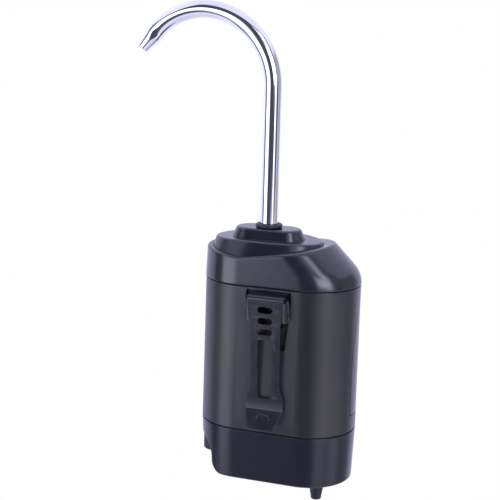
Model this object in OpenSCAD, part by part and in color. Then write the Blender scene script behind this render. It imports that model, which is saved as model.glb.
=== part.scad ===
// Clip-on electric water jug pump: a racetrack housing in three sections with a
// swivelling gooseneck spout on top, a spring clip on one flat side and a hose
// nipple below. Millimetres, +Z up, origin on the flat side at the clip's jaw.

/* [Housing] */
// overall length of the racetrack plan
body_w = 73; // [66:0.5:84]
// overall depth of the racetrack plan
body_d = 43.8; // [42.6:0.2:46]
// height of the base up to the lower seam
base_h = 24.2; // [23:0.2:28]
// height of the middle shell between the two seams
mid_h = 67.6; // [66:0.2:76]
// thickness of every moulded wall
wall = 2; // [1.8:0.1:2.2]
// height of the sealing rings in the two seams
seam_h = 0.5; // [0.4:0.05:0.8]
// how far the sealing rings lie behind the walls
seam_in = 0.6; // [0.3:0.05:0.9]
// how much narrower the base is at its underside
base_draft = 0.9; // [0.3:0.1:1.5]
// rounding of the base's lower edge
base_round = 1; // [0.6:0.1:2]

/* [Cap] */
// height of the cap's lowest shoulder point over the upper seam
shoulder_h = 12.5; // [11.5:0.1:14]
// how far the cap stands proud of the middle shell
cap_proud = 0.2; // [0.1:0.05:0.4]
// radius that turns the sloped end inward
cap_bend = 11.1; // [9:0.1:13]
// inward lean of the cap's walls per millimetre of height
cap_lean = 0.045; // [0.02:0.005:0.06]
// height of the spout deck's top over the upper seam
deck_h = 19; // [18.6:0.1:20]
// half length of the deck's top
deck_a = 25.2; // [24:0.1:26]
// half depth of the deck's top
deck_d = 14.6; // [13.5:0.1:15.5]
// height of the boss on the deck
boss_h = 4.4; // [3.8:0.1:5.5]
// radius of the boss's ends at its foot
boss_r = 8.9; // [8.5:0.1:9.5]
// half distance between the boss's end centres
boss_l = 8; // [7:0.1:9]

/* [Spout] */
// outside diameter of the spout tube
tube_d = 8; // [7.8:0.1:8.2]
// wall of the spout tube
tube_wall = 0.6; // [0.5:0.05:0.8]
// position of the spout along the housing
spout_x = -7.2; // [-7.6:0.1:-6.8]
// height of the straight riser over the upper seam
riser_h = 87.2; // [70:0.2:110]
// centreline radius of the bend
bend_r = 32.8; // [28:0.2:40]
// angle the bend turns through
bend_deg = 141; // [120:1:160]
// length of the tapered end
tip_len = 8; // [5:0.1:12]
// diameter of the tapered end's mouth
tip_d = 6; // [5.6:0.1:6.6]

/* [Clip] */
// width of the clip's head and of its jaw bend
clip_w = 17; // [16.4:0.1:18]
// width of the clip's neck
clip_neck = 13.8; // [13:0.1:15]
// thickness of the clip's steel
clip_t = 1; // [0.9:0.05:1.1]
// how far the clip's head stands off the housing
clip_off = 4.6; // [4.4:0.1:5.2]
// distance of the clip's head below the upper seam
clip_drop = 4.7; // [4.4:0.1:5.2]
// distance from the head's top to the jaw bend
clip_len = 50.6; // [48:0.2:53]
// height of the flared lip below the jaw bend
lip_h = 9.3; // [8:0.1:10]
// how far the lip flares off the housing
lip_out = 5.2; // [4:0.1:6]
// diameter of the clip's hinge pin
pin_d = 1.6; // [1.5:0.05:1.7]

/* [Pump] */
// number of teeth on each pump gear
teeth = 10; // [10:1:10]
// tooth module of the pump gears
gear_m = 1; // [0.98:0.01:1.02]
// thickness of the pump gears
gear_h = 8; // [7:0.1:9]
// diameter of the motor can
motor_d = 24.4; // [23:0.1:24.8]
// length of the motor can
motor_l = 31; // [28:0.5:34]
// diameter of the motor's shaft and of the idler's axle
shaft_d = 2; // [1.9:0.05:2.2]
// position of the hose nipple along the housing
nipple_x = 19.8; // [19.4:0.1:20.2]
// diameter of the hose nipple's straight part
nipple_d = 6.6; // [6.4:0.1:7]
// length of the hose nipple's straight part
nipple_l = 7; // [6:0.1:9]
// length of the hose nipple's tapered end
nipple_tip = 5.5; // [4:0.1:7]

/* [Power] */
// diameter of the battery cell
cell_d = 18.4; // [18:0.1:18.6]
// length of the battery cell
cell_l = 65; // [64:0.1:66]
// diameter of the power button
button_d = 13; // [11:0.1:15]
// travel of the power button
button_travel = 0.8; // [0.5:0.05:1]
// height of the power button over the base's underside
button_z = 66; // [62:0.5:70]

/* [Fits] */
// running clearance on shafts and pivots, per side
slip = 0.05; // [0.03:0.01:0.08]
// clearance between parts that pass each other
gap = 0.3; // [0.25:0.05:0.4]
// clearance of plugged joints, per side
plug = 0.1; // [0.05:0.05:0.15]

/* [Hidden] */
$fn = 64;
eps = 0.01;
mid_r = body_d / 2;
end_x = body_w / 2 - mid_r;
seam_lo = base_h;
seam_up = base_h + mid_h;
mid_z0 = seam_lo + seam_h / 2;
mid_z1 = seam_up - seam_h / 2;
in_r = mid_r - wall;
cap_r = mid_r + cap_proud;
cap_z0 = seam_up + seam_h / 2;
lip_in = 1.2;
deck_z = seam_up + deck_h;
boss_z = deck_z + boss_h;
tube_r = tube_d / 2;
bore_r = tube_r - tube_wall;
tip_in = 0.4;
tip_step = 0.06;
shoulder_z = seam_up + shoulder_h;
shoulder_x = -14.4;

// clip
jaw_z = seam_up - clip_drop - clip_len;
head_z = seam_up - clip_drop;
head_y = -mid_r - clip_off;
pin_y = -mid_r - clip_off / 2 + clip_t / 2;
pin_z = head_z - 6.6;
pin_r = pin_d / 2;
ear_x = clip_w / 2 - clip_t;
ear_splay = 17;
ear_len = (clip_off - 1.1) / cos(ear_splay);
pin_half = clip_w / 2 + (clip_off / 2 - 0.5) * tan(ear_splay) + 0.6;
lug_t = 1.6;
lug_x = ear_x - gap - lug_t;
pocket_d = 2.2;
pocket_w = clip_w + 4;
pocket_z0 = pin_z - 7;
pocket_z1 = seam_up - 1.7;
pocket_zw = seam_up - 6.2;
plate_w = 2 * (lug_x + lug_t);
pocket_y = -mid_r + pocket_d;
plate_t = 1.2;
plate_z1 = pin_z + 3.6;

// pump stack, from the base's floor upward
floor_z = wall;
cover_t = 2.4;
cover_z = floor_z + cover_t;
side_gap = gap;
cavity_h = gear_h + 2 * side_gap;
roof_z = cover_z + cavity_h;
roof_t = 4;
pump_top = roof_z + roof_t;
pitch_r = gear_m * teeth / 2;
gear_c = pitch_r + 0.1 * gear_m;
tip_r = pitch_r + 0.85 * gear_m;
pump_x = nipple_x - pitch_r - 2;
port_w = 5;
shaft_r = shaft_d / 2;
block_x = 11.5;
block_y = 12.5;
screw_x = 9.2;
screw_y = 10.2;
outlet_z = cover_z + cavity_h / 2;
hose_r = 3.4;
spigot_r = 2.2;
elbow_r = 5.6;

// notch at the plain end of the base
notch_x = -26.3;
notch_round = 6.5;
notch_r = body_w / 2 + notch_x;
notch_z = base_h - 7 - notch_r;
port_z = base_h - 12;

// battery, board and button
cell_r = cell_d / 2;
cell_room = 1.7;
cell_x = spout_x - hose_r - cell_room - cell_r;
cell_z = base_h - 3;
sleeve_t = 1.2;
sleeve_h = 46;
foot_x = notch_x + 8;
foot_w = 6.6;
board_y = in_r - 6.4;
board_t = 1.6;
board_w = 40;
post_x = 17;
post_lo = 38;
post_hi = 82;
chip_x = 10;
chip_w = 8;
chip_t = 2;
lamp_w = 3;
lamp_drop = 14;
switch_h = 2.5;
flange_y = in_r - 1.2;
panel_t = 0.9;
panel_y = -5;
panel_z0 = base_h + 3;
panel_z1 = seam_up - 3.5;

// moves the housing's own frame so that the clip's jaw is the origin
module home() translate([0, mid_r, -jaw_z]) children();

// sweeps a half profile (radius, height) round a racetrack with end centres at +-l
module racetrack(l) {
    for (s = [-1, 1])
        translate([s * l, 0, 0])
            rotate([0, 0, -90 * s])
                rotate_extrude(angle = 180) children();
    rotate([90, 0, 90])
        translate([0, 0, -l])
            linear_extrude(2 * l) {
                children();
                mirror([1, 0]) children();
            }
}

// a flat obround, length along the first axis
module obround(len, wid) {
    square([len - wid, wid], center = true);
    for (s = [-1, 1])
        translate([s * (len - wid) / 2, 0]) circle(wid / 2);
}

// a rectangle with four rounded corners
module rounded(w, h, r) {
    square([w - 2 * r, h], center = true);
    square([w, h - 2 * r], center = true);
    for (i = [-1, 1], j = [-1, 1])
        translate([i * (w / 2 - r), j * (h / 2 - r)]) circle(r);
}

// a rod along -y or +y from one depth to another
module rod_y(x, z, y0, y1, r) {
    translate([x, y0, z]) rotate([-90, 0, 0]) cylinder(h = y1 - y0, r = r);
}

// closes a stack of equal rings into a solid
module skin(rings) {
    n = len(rings[0]);
    m = len(rings);
    pts = [for (r = rings) for (p = r) p];
    sides = [for (k = [0 : m - 2]) for (i = [0 : n - 1])
        let (a = k * n + i, b = k * n + (i + 1) % n, c = a + n, d = b + n)
        each [[a, c, d], [a, d, b]]];
    foot = [[for (i = [0 : n - 1]) i]];
    lid = [[for (i = [n - 1 : -1 : 0]) (m - 1) * n + i]];
    polyhedron(points = pts, faces = concat(foot, sides, lid), convexity = 6);
}

// cap: the plain end stays upright, the other end bends inward with height
function slope_x(h) =
    let (s = min(max(h, 0), cap_bend * sin(45)), a = asin(s / cap_bend))
    body_w / 2 + cap_proud - cap_bend * (1 - cos(a)) - max(h - cap_bend * sin(45), 0);
function cap_ring(h, t) =
    let (r = cap_r - cap_lean * max(h, 0) - t, xr = slope_x(h) - r - 1.25 * t)
    [for (i = [0 : 63]) let (a = (i + 0.5) * 360 / 64)
        [(cos(a) > 0 ? xr : -end_x) + r * cos(a), r * sin(a), seam_up + h]];
module cap_form(t, h0) skin([for (h = [h0, 1.5, 3, 4.5, 6, 7.85, 24]) cap_ring(h, t)]);

// height of the cap's shoulder along the housing
function shoulder(x) = shoulder_z + (x < shoulder_x
    ? 0.146 * (shoulder_x - x)
    : 0.06 * (x - shoulder_x) + 0.0037 * (x - shoulder_x) * (x - shoulder_x));
module under_shoulder(d) {
    xs = concat([-45, shoulder_x], [for (i = [1 : 10]) shoulder_x + i * 5]);
    rotate([90, 0, 0])
        linear_extrude(body_d + 20, center = true)
            polygon(concat([[36, seam_up - 5], [-45, seam_up - 5]],
                [for (x = xs) [x, shoulder(x) - d]]));
}

// deck: an oval with strongly leaning sides
function oval(cx, a, b, e, z) =
    [for (i = [0 : 63]) let (t = i * 360 / 64, c = cos(t), s = sin(t))
        [cx + sign(c) * a * pow(abs(c), 2 / e), sign(s) * b * pow(abs(s), 2 / e), z]];
foot_d = cap_r - cap_lean * shoulder_h - 0.2;
foot_drop = deck_z - shoulder_z + 0.6;
module deck_form(t) {
    low = deck_z - foot_drop - t;
    skin([
        oval(spout_x, deck_a + 2 - t, foot_d - t, 2.5, low),
        oval(spout_x, deck_a + 0.4 - t, deck_d + 0.8 - t, 2.1, deck_z - 0.7 - t),
        oval(spout_x, deck_a - 0.3 - t, deck_d - 0.2 - t, 2.1, deck_z - t)]);
}

module mid_shell() color([0.27, 0.27, 0.29]) home() difference() {
    union() {
        racetrack(end_x) translate([in_r, mid_z0]) square([wall, mid_z1 - mid_z0]);
        translate([-pocket_w / 2 - wall, -in_r - eps, pocket_z0 - wall])
            cube([pocket_w + 2 * wall, pocket_d, seam_up - lip_in - plug - pocket_z0 + wall]);
        for (x = [-post_x, post_x], z = [post_lo, post_hi])
            rod_y(x, z, board_y + board_t, in_r + eps, 2.6);
    }
    translate([-pocket_w / 2, -mid_r - 1, pocket_zw])
        cube([pocket_w, pocket_d + 1, pocket_z1 - pocket_zw]);
    translate([-plate_w / 2 - gap, -mid_r - 1, pocket_z0])
        cube([plate_w + 2 * gap, pocket_d + 1, pocket_zw - pocket_z0 + 1]);
    for (x = [-4, 4]) rod_y(x, pin_z - 4.8, pocket_y - 1, pocket_y + 1.5, 0.7);
    panel_band(mid_r - panel_t - plug, mid_r + 1, plug);
    rod_y(0, button_z, in_r - 1, mid_r + 1, button_d / 2 + gap);
    rod_y(0, button_z - lamp_drop, in_r - 1, mid_r + 1, 1.5 + plug);
    for (x = [-post_x, post_x], z = [post_lo, post_hi])
        rod_y(x, z, board_y, board_y + board_t + 4.5, 0.8);
}

// the wrap-round band of the front panel between two radii
module panel_band(r0, r1, grow) {
    intersection() {
        racetrack(end_x)
            translate([r0, panel_z0 - grow]) square([r1 - r0, panel_z1 - panel_z0 + 2 * grow]);
        translate([-body_w, panel_y - grow, 0]) cube([2 * body_w, body_d, seam_up]);
    }
}

module front_panel() color([0.2, 0.2, 0.23]) home() difference() {
    panel_band(mid_r - panel_t, mid_r, 0);
    rod_y(0, button_z, in_r, mid_r + 1, button_d / 2 + 1.5 + plug);
    rod_y(0, button_z - lamp_drop, in_r, mid_r + 1, 1.5 + plug);
}

module button_bezel() color([0.6, 0.62, 0.65]) home() difference() {
    rod_y(0, button_z, mid_r - panel_t, mid_r + 0.5, button_d / 2 + 1.5);
    rod_y(0, button_z, in_r, mid_r + 1, button_d / 2 + gap);
}

module power_button() color([0.16, 0.17, 0.2]) home() {
    face_y = mid_r + button_travel + 0.6;
    difference() {
        union() {
            rod_y(0, button_z, flange_y + eps, face_y, button_d / 2);
            rod_y(0, button_z, flange_y, in_r - plug, button_d / 2 + 1.5);
        }
        rod_y(0, button_z, face_y - 0.3, face_y + 1, button_d / 2 - 2.4);
    }
}
function switch_top() = board_y + board_t + switch_h;

module switch_plunger() color([0.75, 0.74, 0.7]) home()
    rod_y(0, button_z, switch_top() - 1, flange_y, 1.6);

module tact_switch() color([0.12, 0.12, 0.13]) home() difference() {
    translate([-3, board_y + board_t, button_z - 3]) cube([6, switch_h, 6]);
    rod_y(0, button_z, switch_top() - 1 - button_travel - gap, switch_top() + 1, 1.6 + slip);
}

module indicator_lens() color([0.55, 0.8, 0.6]) home() {
    rod_y(0, button_z - lamp_drop, in_r - 0.6, mid_r, 1.5);
    rod_y(0, button_z - lamp_drop, in_r - 1.6, in_r, 2.2);
}

module control_board() color([0.05, 0.3, 0.2]) home() difference() {
    translate([0, board_y, (post_lo + post_hi) / 2])
        rotate([-90, 0, 0]) linear_extrude(board_t) rounded(board_w, post_hi - post_lo + 8, 2);
    for (x = [-post_x, post_x], z = [post_lo, post_hi]) rod_y(x, z, board_y - 1, in_r, 1.2);
}

module board_chips() color([0.09, 0.09, 0.1]) home() {
    face = board_y + board_t;
    translate([-chip_x - chip_w / 2, face, post_hi - chip_w - 4]) cube([chip_w, chip_t, chip_w]);
    translate([chip_x - chip_w / 2, face, post_lo + chip_w]) cube([chip_w, chip_t, chip_w]);
    translate([-chip_x, face, post_lo + chip_w]) cube([chip_w / 2, chip_t, chip_w / 2]);
    translate([-lamp_w / 2, face, button_z - lamp_drop - lamp_w / 2])
        cube([lamp_w, in_r - 1.6 - face, lamp_w]);
}

module board_screws() color([0.72, 0.72, 0.74]) home()
    for (x = [-post_x, post_x], z = [post_lo, post_hi]) {
        rod_y(x, z, board_y - eps, board_y + board_t + 4, 0.8);
        difference() {
            rod_y(x, z, board_y - 1.4, board_y, 2);
            rod_y(x, z, board_y - 2, board_y - 0.6, 0.7, $fn = 6);
        }
    }

module battery_cell() color([0.2, 0.35, 0.55]) home() translate([cell_x, 0, cell_z]) {
    cylinder(h = cell_l - 1.2, r = cell_r);
    translate([0, 0, cell_l - 1.2 - eps]) cylinder(h = 1.2, r = 2.9);
}

module battery_cradle() color([0.13, 0.13, 0.14]) home() {
    low = roof_notch();
    difference() {
        union() {
            intersection() {
                translate([cell_x, 0, low])
                    cylinder(h = cell_z + sleeve_h - low, r = cell_r + plug + sleeve_t);
                racetrack(end_x) square([in_r - gap, seam_up]);
            }
            translate([foot_x, -6, floor_z]) cube([foot_w, 12, low - floor_z + 1]);
        }
        translate([cell_x, 0, cell_z]) cylinder(h = cell_l, r = cell_r + plug);
        translate([cell_x - 6, -30, cell_z + 6]) cube([12, 30, 34]);
        translate([cell_x + cell_r - 2, -30, low + 14]) cube([12, 60, 60]);
    }
}
function roof_notch() = notch_z + notch_r + wall;

// what the notch takes off the base, grown by a wall for the inside
module notch(grow) {
    rotate([90, 0, 0]) linear_extrude(body_d + 4, center = true) {
        translate([-body_w, -5]) square([body_w + notch_x + grow, notch_z + 5]);
        translate([-body_w, -5]) square([body_w / 2, notch_z + notch_r + grow + 5]);
        translate([-body_w / 2, notch_z]) circle(notch_r + grow);
        difference() {
            translate([notch_x + grow - 1, grow - 1])
                square([notch_round - grow + 1, notch_round - grow + 1]);
            translate([notch_x + notch_round, notch_round]) circle(notch_round - grow);
        }
    }
}

module base_cup() color([0.17, 0.17, 0.22]) home() {
    top_z = seam_lo - seam_h / 2;
    low_r = mid_r - base_draft;
    difference() {
        racetrack(end_x) {
            polygon([[0, 0], [low_r - base_round, 0], [low_r, base_round], [mid_r, top_z], [0, top_z]]);
            translate([low_r - base_round, base_round]) circle(base_round);
        }
        notch(0);
        difference() {
            racetrack(end_x)
                polygon([[0, floor_z], [low_r - wall - 1, floor_z], [low_r - wall, floor_z + 1],
                    [in_r, top_z + 1], [0, top_z + 1]]);
            notch(wall);
        }
        translate([nipple_x, 0, -1]) cylinder(h = wall + 2, r = collar_r + plug);
        for (i = [-1, 1], j = [-1, 1]) translate([pump_x + i * screw_x, j * screw_y, -1]) {
            cylinder(h = wall + 2, r = 1.3);
            cylinder(h = 2.1, r = 2.5);
        }
        translate([notch_x - 5, -4.6 - plug, port_z - 1.7 - plug])
            cube([5 + wall + 1, 9.2 + 2 * plug, 3.4 + 2 * plug]);
    }
    difference() {
        racetrack(end_x)
            translate([in_r - plug - 1.4, top_z - 3]) square([1.4, 6]);
        notch(wall);
    }
    difference() {
        racetrack(end_x) translate([in_r - plug - 1.4, top_z - 3]) square([1.4 + plug + eps, 3]);
        notch(wall);
    }
}

module seal_ring(z) racetrack(end_x)
    translate([in_r - plug, z - seam_h / 2]) square([wall - seam_in + plug, seam_h]);
module cap_seal() color([0.04, 0.04, 0.05]) home() seal_ring(seam_up);
module base_seal() color([0.04, 0.04, 0.05]) home() seal_ring(seam_lo);

module top_cap() color([0.2, 0.21, 0.26]) home() difference() {
    union() {
        difference() {
            intersection() {
                cap_form(0, seam_h / 2);
                under_shoulder(0);
            }
            intersection() {
                cap_form(wall, -1);
                under_shoulder(wall);
            }
        }
        racetrack(end_x) {
            translate([in_r - plug - 1.4, seam_up - lip_in]) square([1.4, lip_in + 2.8]);
            translate([in_r - plug - 1, cap_z0]) square([plug + 1.6, 2.5]);
        }
    }
    translate([spout_x, 0, seam_up]) cylinder(h = 30, r = 8 + plug);
}

module spout_deck() color([0.15, 0.16, 0.21]) home() difference() {
    deck_form(0);
    under_shoulder(0);
    deck_form(wall);
    translate([spout_x, 0, seam_up]) cylinder(h = 40, r = tube_r + gap);
}

module spout_boss() color([0.15, 0.16, 0.21]) home() difference() {
    translate([spout_x, 0, deck_z]) racetrack(boss_l) {
        top_r = boss_r - 2;
        polygon([[0, 0], [boss_r, 0], [top_r + 0.35, boss_h - 1], [top_r - 0.75, boss_h], [0, boss_h]]);
        translate([top_r - 0.75, boss_h - 1.1]) circle(1.1);
    }
    translate([spout_x, 0, deck_z - 1]) cylinder(h = boss_h + 2, r = tube_r + gap);
}

module spout_grommet() color([0.06, 0.06, 0.07]) home()
    translate([spout_x, 0, boss_z]) rotate_extrude() {
        translate([tube_r + slip, 0]) square([0.8, 2.8]);
        intersection() {
            translate([tube_r + slip, 0]) square([4, 2.8]);
            translate([tube_r + 0.8, 1.4]) circle(1.4);
        }
    }

module spout_ring() difference() {
    circle(tube_r);
    circle(bore_r);
}

module spout_tube() color([0.85, 0.86, 0.88]) home() {
    low = seam_up + 5;
    spring = seam_up + riser_h;
    translate([spout_x, 0, low]) linear_extrude(spring - low) spout_ring();
    translate([spout_x - bend_r, 0, spring]) {
        rotate([90, 0, 0]) rotate_extrude(angle = bend_deg) translate([bend_r, 0]) spout_ring();
        rotate([0, -bend_deg, 0]) translate([bend_r, 0, -tip_in]) difference() {
            cylinder(h = tip_len + tip_in, r1 = tube_r - tip_step, r2 = tip_d / 2);
            translate([0, 0, -eps])
                cylinder(h = tip_len + tip_in + 2 * eps, r1 = bore_r + tip_step, r2 = tip_d / 2 - tube_wall);
        }
    }
}

module spout_retainer() color([0.7, 0.7, 0.72]) home()
    translate([spout_x, 0, seam_up + 5.6]) linear_extrude(1.6) difference() {
        circle(tube_r + 1.7);
        circle(tube_r);
    }

module spout_oring() color([0.05, 0.05, 0.05]) home()
    translate([spout_x, 0, seam_up + 11.4 + 0.85]) rotate_extrude()
        translate([tube_r + slip + 0.85, 0]) circle(0.85);

module spout_socket() color([0.3, 0.31, 0.33]) home()
    translate([spout_x, 0, seam_up + 3]) difference() {
        cylinder(h = deck_z - wall - seam_up - 3 - plug, r = 8);
        translate([0, 0, -1]) cylinder(h = 40, r = tube_r + gap);
        translate([0, 0, -1]) cylinder(h = 1 + 4.6, r = tube_r + 1.7 + gap);
        translate([0, 0, 8.4]) cylinder(h = 40, r = tube_r + slip + 1.7 + eps);
    }

module socket_plug() color([0.3, 0.31, 0.33]) home()
    translate([spout_x, 0, seam_up + 3]) difference() {
        union() {
            translate([0, 0, -1.6]) cylinder(h = 1.6, r = 8);
            cylinder(h = 1.4, r = tube_r + 1.7 + gap - slip);
            translate([0, 0, -9]) cylinder(h = 8, r = spigot_r);
        }
        translate([0, 0, -10]) cylinder(h = 14, r = spigot_r - 0.8);
    }

module hose_ring() difference() {
    circle(hose_r);
    circle(spigot_r);
}

module delivery_tube() color([0.8, 0.8, 0.78]) home() {
    low = outlet_z + elbow_r;
    high = seam_up + 3 - 1.6;
    translate([spout_x, 0, low]) linear_extrude(high - low) hose_ring();
    translate([spout_x + elbow_r, 0, low]) rotate([90, 0, 0]) rotate([0, 0, 180])
        rotate_extrude(angle = 90) translate([elbow_r, 0]) hose_ring();
    translate([spout_x + elbow_r, 0, outlet_z]) rotate([0, 90, 0])
        linear_extrude(pump_x - block_x - spout_x - elbow_r) hose_ring();
}

// clip: a strip bent from the head's flange down to the jaw and out to the lip
leaf_path = [
    [-mid_r - 0.9, head_z + 1.2],
    [head_y + 1.1, head_z + 0.1],
    [head_y + 0.3, head_z - 0.3],
    [head_y, head_z - 1.1],
    [head_y + 0.5, head_z - 14],
    [-mid_r - gap - clip_t - 0.45, jaw_z + 3.2],
    [-mid_r - gap - clip_t - 0.06, jaw_z + 1],
    [-mid_r - gap - clip_t, jaw_z],
    [-mid_r - gap - clip_t - 0.15, jaw_z - 1],
    [-mid_r - gap - clip_t - 0.6, jaw_z - 2.2],
    [-mid_r - lip_out, jaw_z - lip_h]];
function unit(v) = v / norm(v);
function side(p, i) =
    let (a = unit(p[min(i + 1, len(p) - 1)] - p[min(i, len(p) - 2)]),
        b = unit(p[max(i, 1)] - p[max(i - 1, 0)]), m = unit(a + b))
    [-m[1], m[0]] / (m * a);
function strip(p, t) = concat(p, [for (i = [len(p) - 1 : -1 : 0]) p[i] + t * side(p, i)]);

module clip_outline() {
    w = clip_w / 2;
    n = clip_neck / 2;
    polygon([[w, head_z + 3], [w, head_z - 9.4], [n, head_z - 11.4], [n, head_z - 40],
        [w, jaw_z + 2], [w, jaw_z - 1], [w - 2, jaw_z - lip_h + 2], [w - 3.2, jaw_z - lip_h - 1],
        [3.2 - w, jaw_z - lip_h - 1], [2 - w, jaw_z - lip_h + 2], [-w, jaw_z - 1], [-w, jaw_z + 2],
        [-n, head_z - 40], [-n, head_z - 11.4], [-w, head_z - 9.4], [-w, head_z + 3]]);
}

module clip_leaf() color([0.24, 0.25, 0.3]) home() {
    difference() {
        intersection() {
            rotate([90, 0, 90]) linear_extrude(clip_w + 2, center = true)
                polygon(strip(leaf_path, clip_t));
            translate([0, -mid_r + 5, 0]) rotate([90, 0, 0]) linear_extrude(30) clip_outline();
        }
        translate([0, -mid_r, 0]) rotate([90, 0, 0]) linear_extrude(20) {
            for (i = [0 : 2]) translate([0, head_z - 4.3 - 5.05 * i]) obround(7, 3);
            translate([0, head_z - 31.9]) rounded(6.6, 27.8, 1.6);
        }
    }
    for (s = [-1, 1])
        difference() {
            translate([s * (ear_x + clip_t / 2), head_y + 0.5, pin_z])
                rotate([0, 0, -s * ear_splay])
                    rotate([90, 0, 90])
                        linear_extrude(clip_t, center = true)
                            polygon([[0, 6.1], [ear_len - 0.7, 6.9], [ear_len - 0.7, 4.5],
                                [ear_len, 0], [ear_len, -2], [ear_len - 0.9, -3.6],
                                [ear_len - 2.2, -4.4], [0, -4.4]]);
            translate([0, pin_y, pin_z]) rotate([0, 90, 0])
                cylinder(h = 3 * clip_w, r = pin_r + slip, center = true);
        }
}

module clip_pin() color([0.7, 0.71, 0.73]) home()
    translate([0, pin_y, pin_z]) rotate([0, 90, 0])
        cylinder(h = 2 * pin_half, r = pin_r, center = true);

module clip_bracket() color([0.5, 0.51, 0.54]) home() difference() {
    union() {
        translate([-plate_w / 2, pocket_y - plate_t, pocket_z0 + gap])
            cube([plate_w, plate_t, plate_z1 - pocket_z0 - gap]);
        for (s = [-1, 1]) translate([s * (lug_x + lug_t / 2), 0, pin_z]) rotate([90, 0, 90])
            linear_extrude(lug_t, center = true) {
                translate([pin_y, 0]) circle(1.55);
                translate([pin_y, -1.55]) square([pocket_y - plate_t - pin_y + eps, 3.1]);
            }
    }
    translate([0, pin_y, pin_z]) rotate([0, 90, 0]) cylinder(h = 30, r = pin_r, center = true);
    for (x = [-4, 4]) rod_y(x, pin_z - 4.8, pocket_y - 4, pocket_y + 1, 0.9);
}

module bracket_screws() color([0.7, 0.71, 0.73]) home() for (x = [-4, 4]) {
    rod_y(x, pin_z - 4.8, pocket_y - plate_t - eps, pocket_y + 1.3, 0.7);
    difference() {
        rod_y(x, pin_z - 4.8, pocket_y - plate_t - 0.9, pocket_y - plate_t, 1.6);
        rod_y(x, pin_z - 4.8, pocket_y - plate_t - 1.5, pocket_y - plate_t - 0.4, 0.6, $fn = 6);
    }
}

// torsion coil round the hinge pin
coil_wire = 0.24;
coil_r = pin_r + coil_wire + 0.12;
coil_turns = 9;
coil_pitch = 1;
echo(str("least gap between curls ", coil_pitch - 2 * coil_wire));
module clip_spring() color([0.6, 0.6, 0.62]) home() {
    steps = coil_turns * 12;
    rings = [for (i = [0 : steps]) let (a = i * 30, x = (i / steps - 0.5) * coil_turns * coil_pitch)
        [for (k = [0 : 5]) let (r = coil_r + coil_wire * cos(k * 60))
            [x + coil_wire * sin(k * 60), pin_y + r * cos(a), pin_z + r * sin(a)]]];
    skin(rings);
}

// gear: involute flanks with a little backlash
function inv(r, b) = let (t = sqrt(max(r * r / (b * b) - 1, 0))) t * 180 / PI - atan(t);
module gear_plan() {
    base_r = pitch_r * cos(20);
    root_r = pitch_r - 1.25 * gear_m;
    half = (90 - 180 * 0.3 / PI) / teeth + inv(pitch_r, base_r);
    rs = [for (i = [0 : 4]) base_r + (tip_r - base_r) * i / 4];
    circle(root_r + 0.02);
    for (k = [0 : teeth - 1]) rotate([0, 0, k * 360 / teeth])
        polygon(concat(
            [[root_r * cos(half) - 0.1, -root_r * sin(half)]],
            [for (r = rs) let (a = half - inv(r, base_r)) [r * cos(a), -r * sin(a)]],
            [for (i = [4 : -1 : 0]) let (r = rs[i], a = half - inv(r, base_r)) [r * cos(a), r * sin(a)]],
            [[root_r * cos(half) - 0.1, root_r * sin(half)]]));
}

module drive_gear() color([0.86, 0.85, 0.8]) home()
    translate([pump_x, -gear_c, cover_z + side_gap]) linear_extrude(gear_h) difference() {
        rotate([0, 0, 180 / teeth]) gear_plan();
        circle(shaft_r);
    }

module idler_gear() color([0.86, 0.85, 0.8]) home()
    translate([pump_x, gear_c, cover_z + side_gap]) linear_extrude(gear_h) difference() {
        gear_plan();
        circle(shaft_r + slip);
    }

module idler_axle() color([0.7, 0.71, 0.73]) home()
    translate([pump_x, gear_c, cover_z]) cylinder(h = cavity_h + 3, r = shaft_r);

module motor_shaft() color([0.72, 0.73, 0.75]) home()
    translate([pump_x, -gear_c, cover_z + gap])
        cylinder(h = pump_top - cover_z + motor_l + 2, r = shaft_r);

module motor_can() color([0.62, 0.63, 0.65]) home() translate([pump_x, -gear_c, pump_top]) difference() {
    union() {
        cylinder(h = motor_l - 2, r = motor_d / 2);
        translate([0, 0, motor_l - 2 - eps]) cylinder(h = 2, r = motor_d / 2 - 1.5);
        translate([0, 0, motor_l - eps]) cylinder(h = 1.4, r = 3.4);
    }
    translate([0, 0, -1]) cylinder(h = motor_l + 5, r = shaft_r + slip);
}

module pump_body() color([0.16, 0.16, 0.18]) home() difference() {
    union() {
        translate([pump_x, 0, cover_z]) linear_extrude(pump_top - cover_z)
            rounded(2 * block_x, 2 * block_y, 2);
        translate([pump_x - block_x - 3, 0, outlet_z]) rotate([0, 90, 0])
            cylinder(h = 4, r = spigot_r);
    }
    for (s = [-1, 1]) translate([pump_x, s * gear_c, cover_z - eps]) cylinder(h = cavity_h, r = tip_r + gap);
    translate([pump_x, -port_w / 2, cover_z - eps]) cube([nipple_x - pump_x + 1.5, port_w, cavity_h]);
    translate([pump_x - 8, -port_w / 2, cover_z - eps]) cube([8, port_w, cavity_h]);
    translate([pump_x - block_x - 6, 0, outlet_z]) rotate([0, 90, 0])
        cylinder(h = block_x, r = spigot_r - 0.8);
    translate([pump_x, -gear_c, roof_z - 1]) cylinder(h = roof_t + 2, r = shaft_r + slip);
    translate([pump_x, gear_c, roof_z - 1]) cylinder(h = 4, r = shaft_r);
    for (i = [-1, 1], j = [-1, 1]) translate([pump_x + i * screw_x, j * screw_y, cover_z - 1])
        cylinder(h = 10, r = 1.1);
}

module pump_cover() color([0.16, 0.16, 0.18]) home() difference() {
    translate([pump_x, 0, floor_z]) linear_extrude(cover_t) rounded(2 * block_x, 2 * block_y, 2);
    translate([nipple_x, 0, floor_z - eps]) cylinder(h = 1.3, r = 4.3 + plug);
    translate([nipple_x, 0, floor_z - 1]) cylinder(h = 6, r = 1.8);
    for (i = [-1, 1], j = [-1, 1]) translate([pump_x + i * screw_x, j * screw_y, floor_z - 1])
        cylinder(h = 6, r = 1.3);
}

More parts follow.
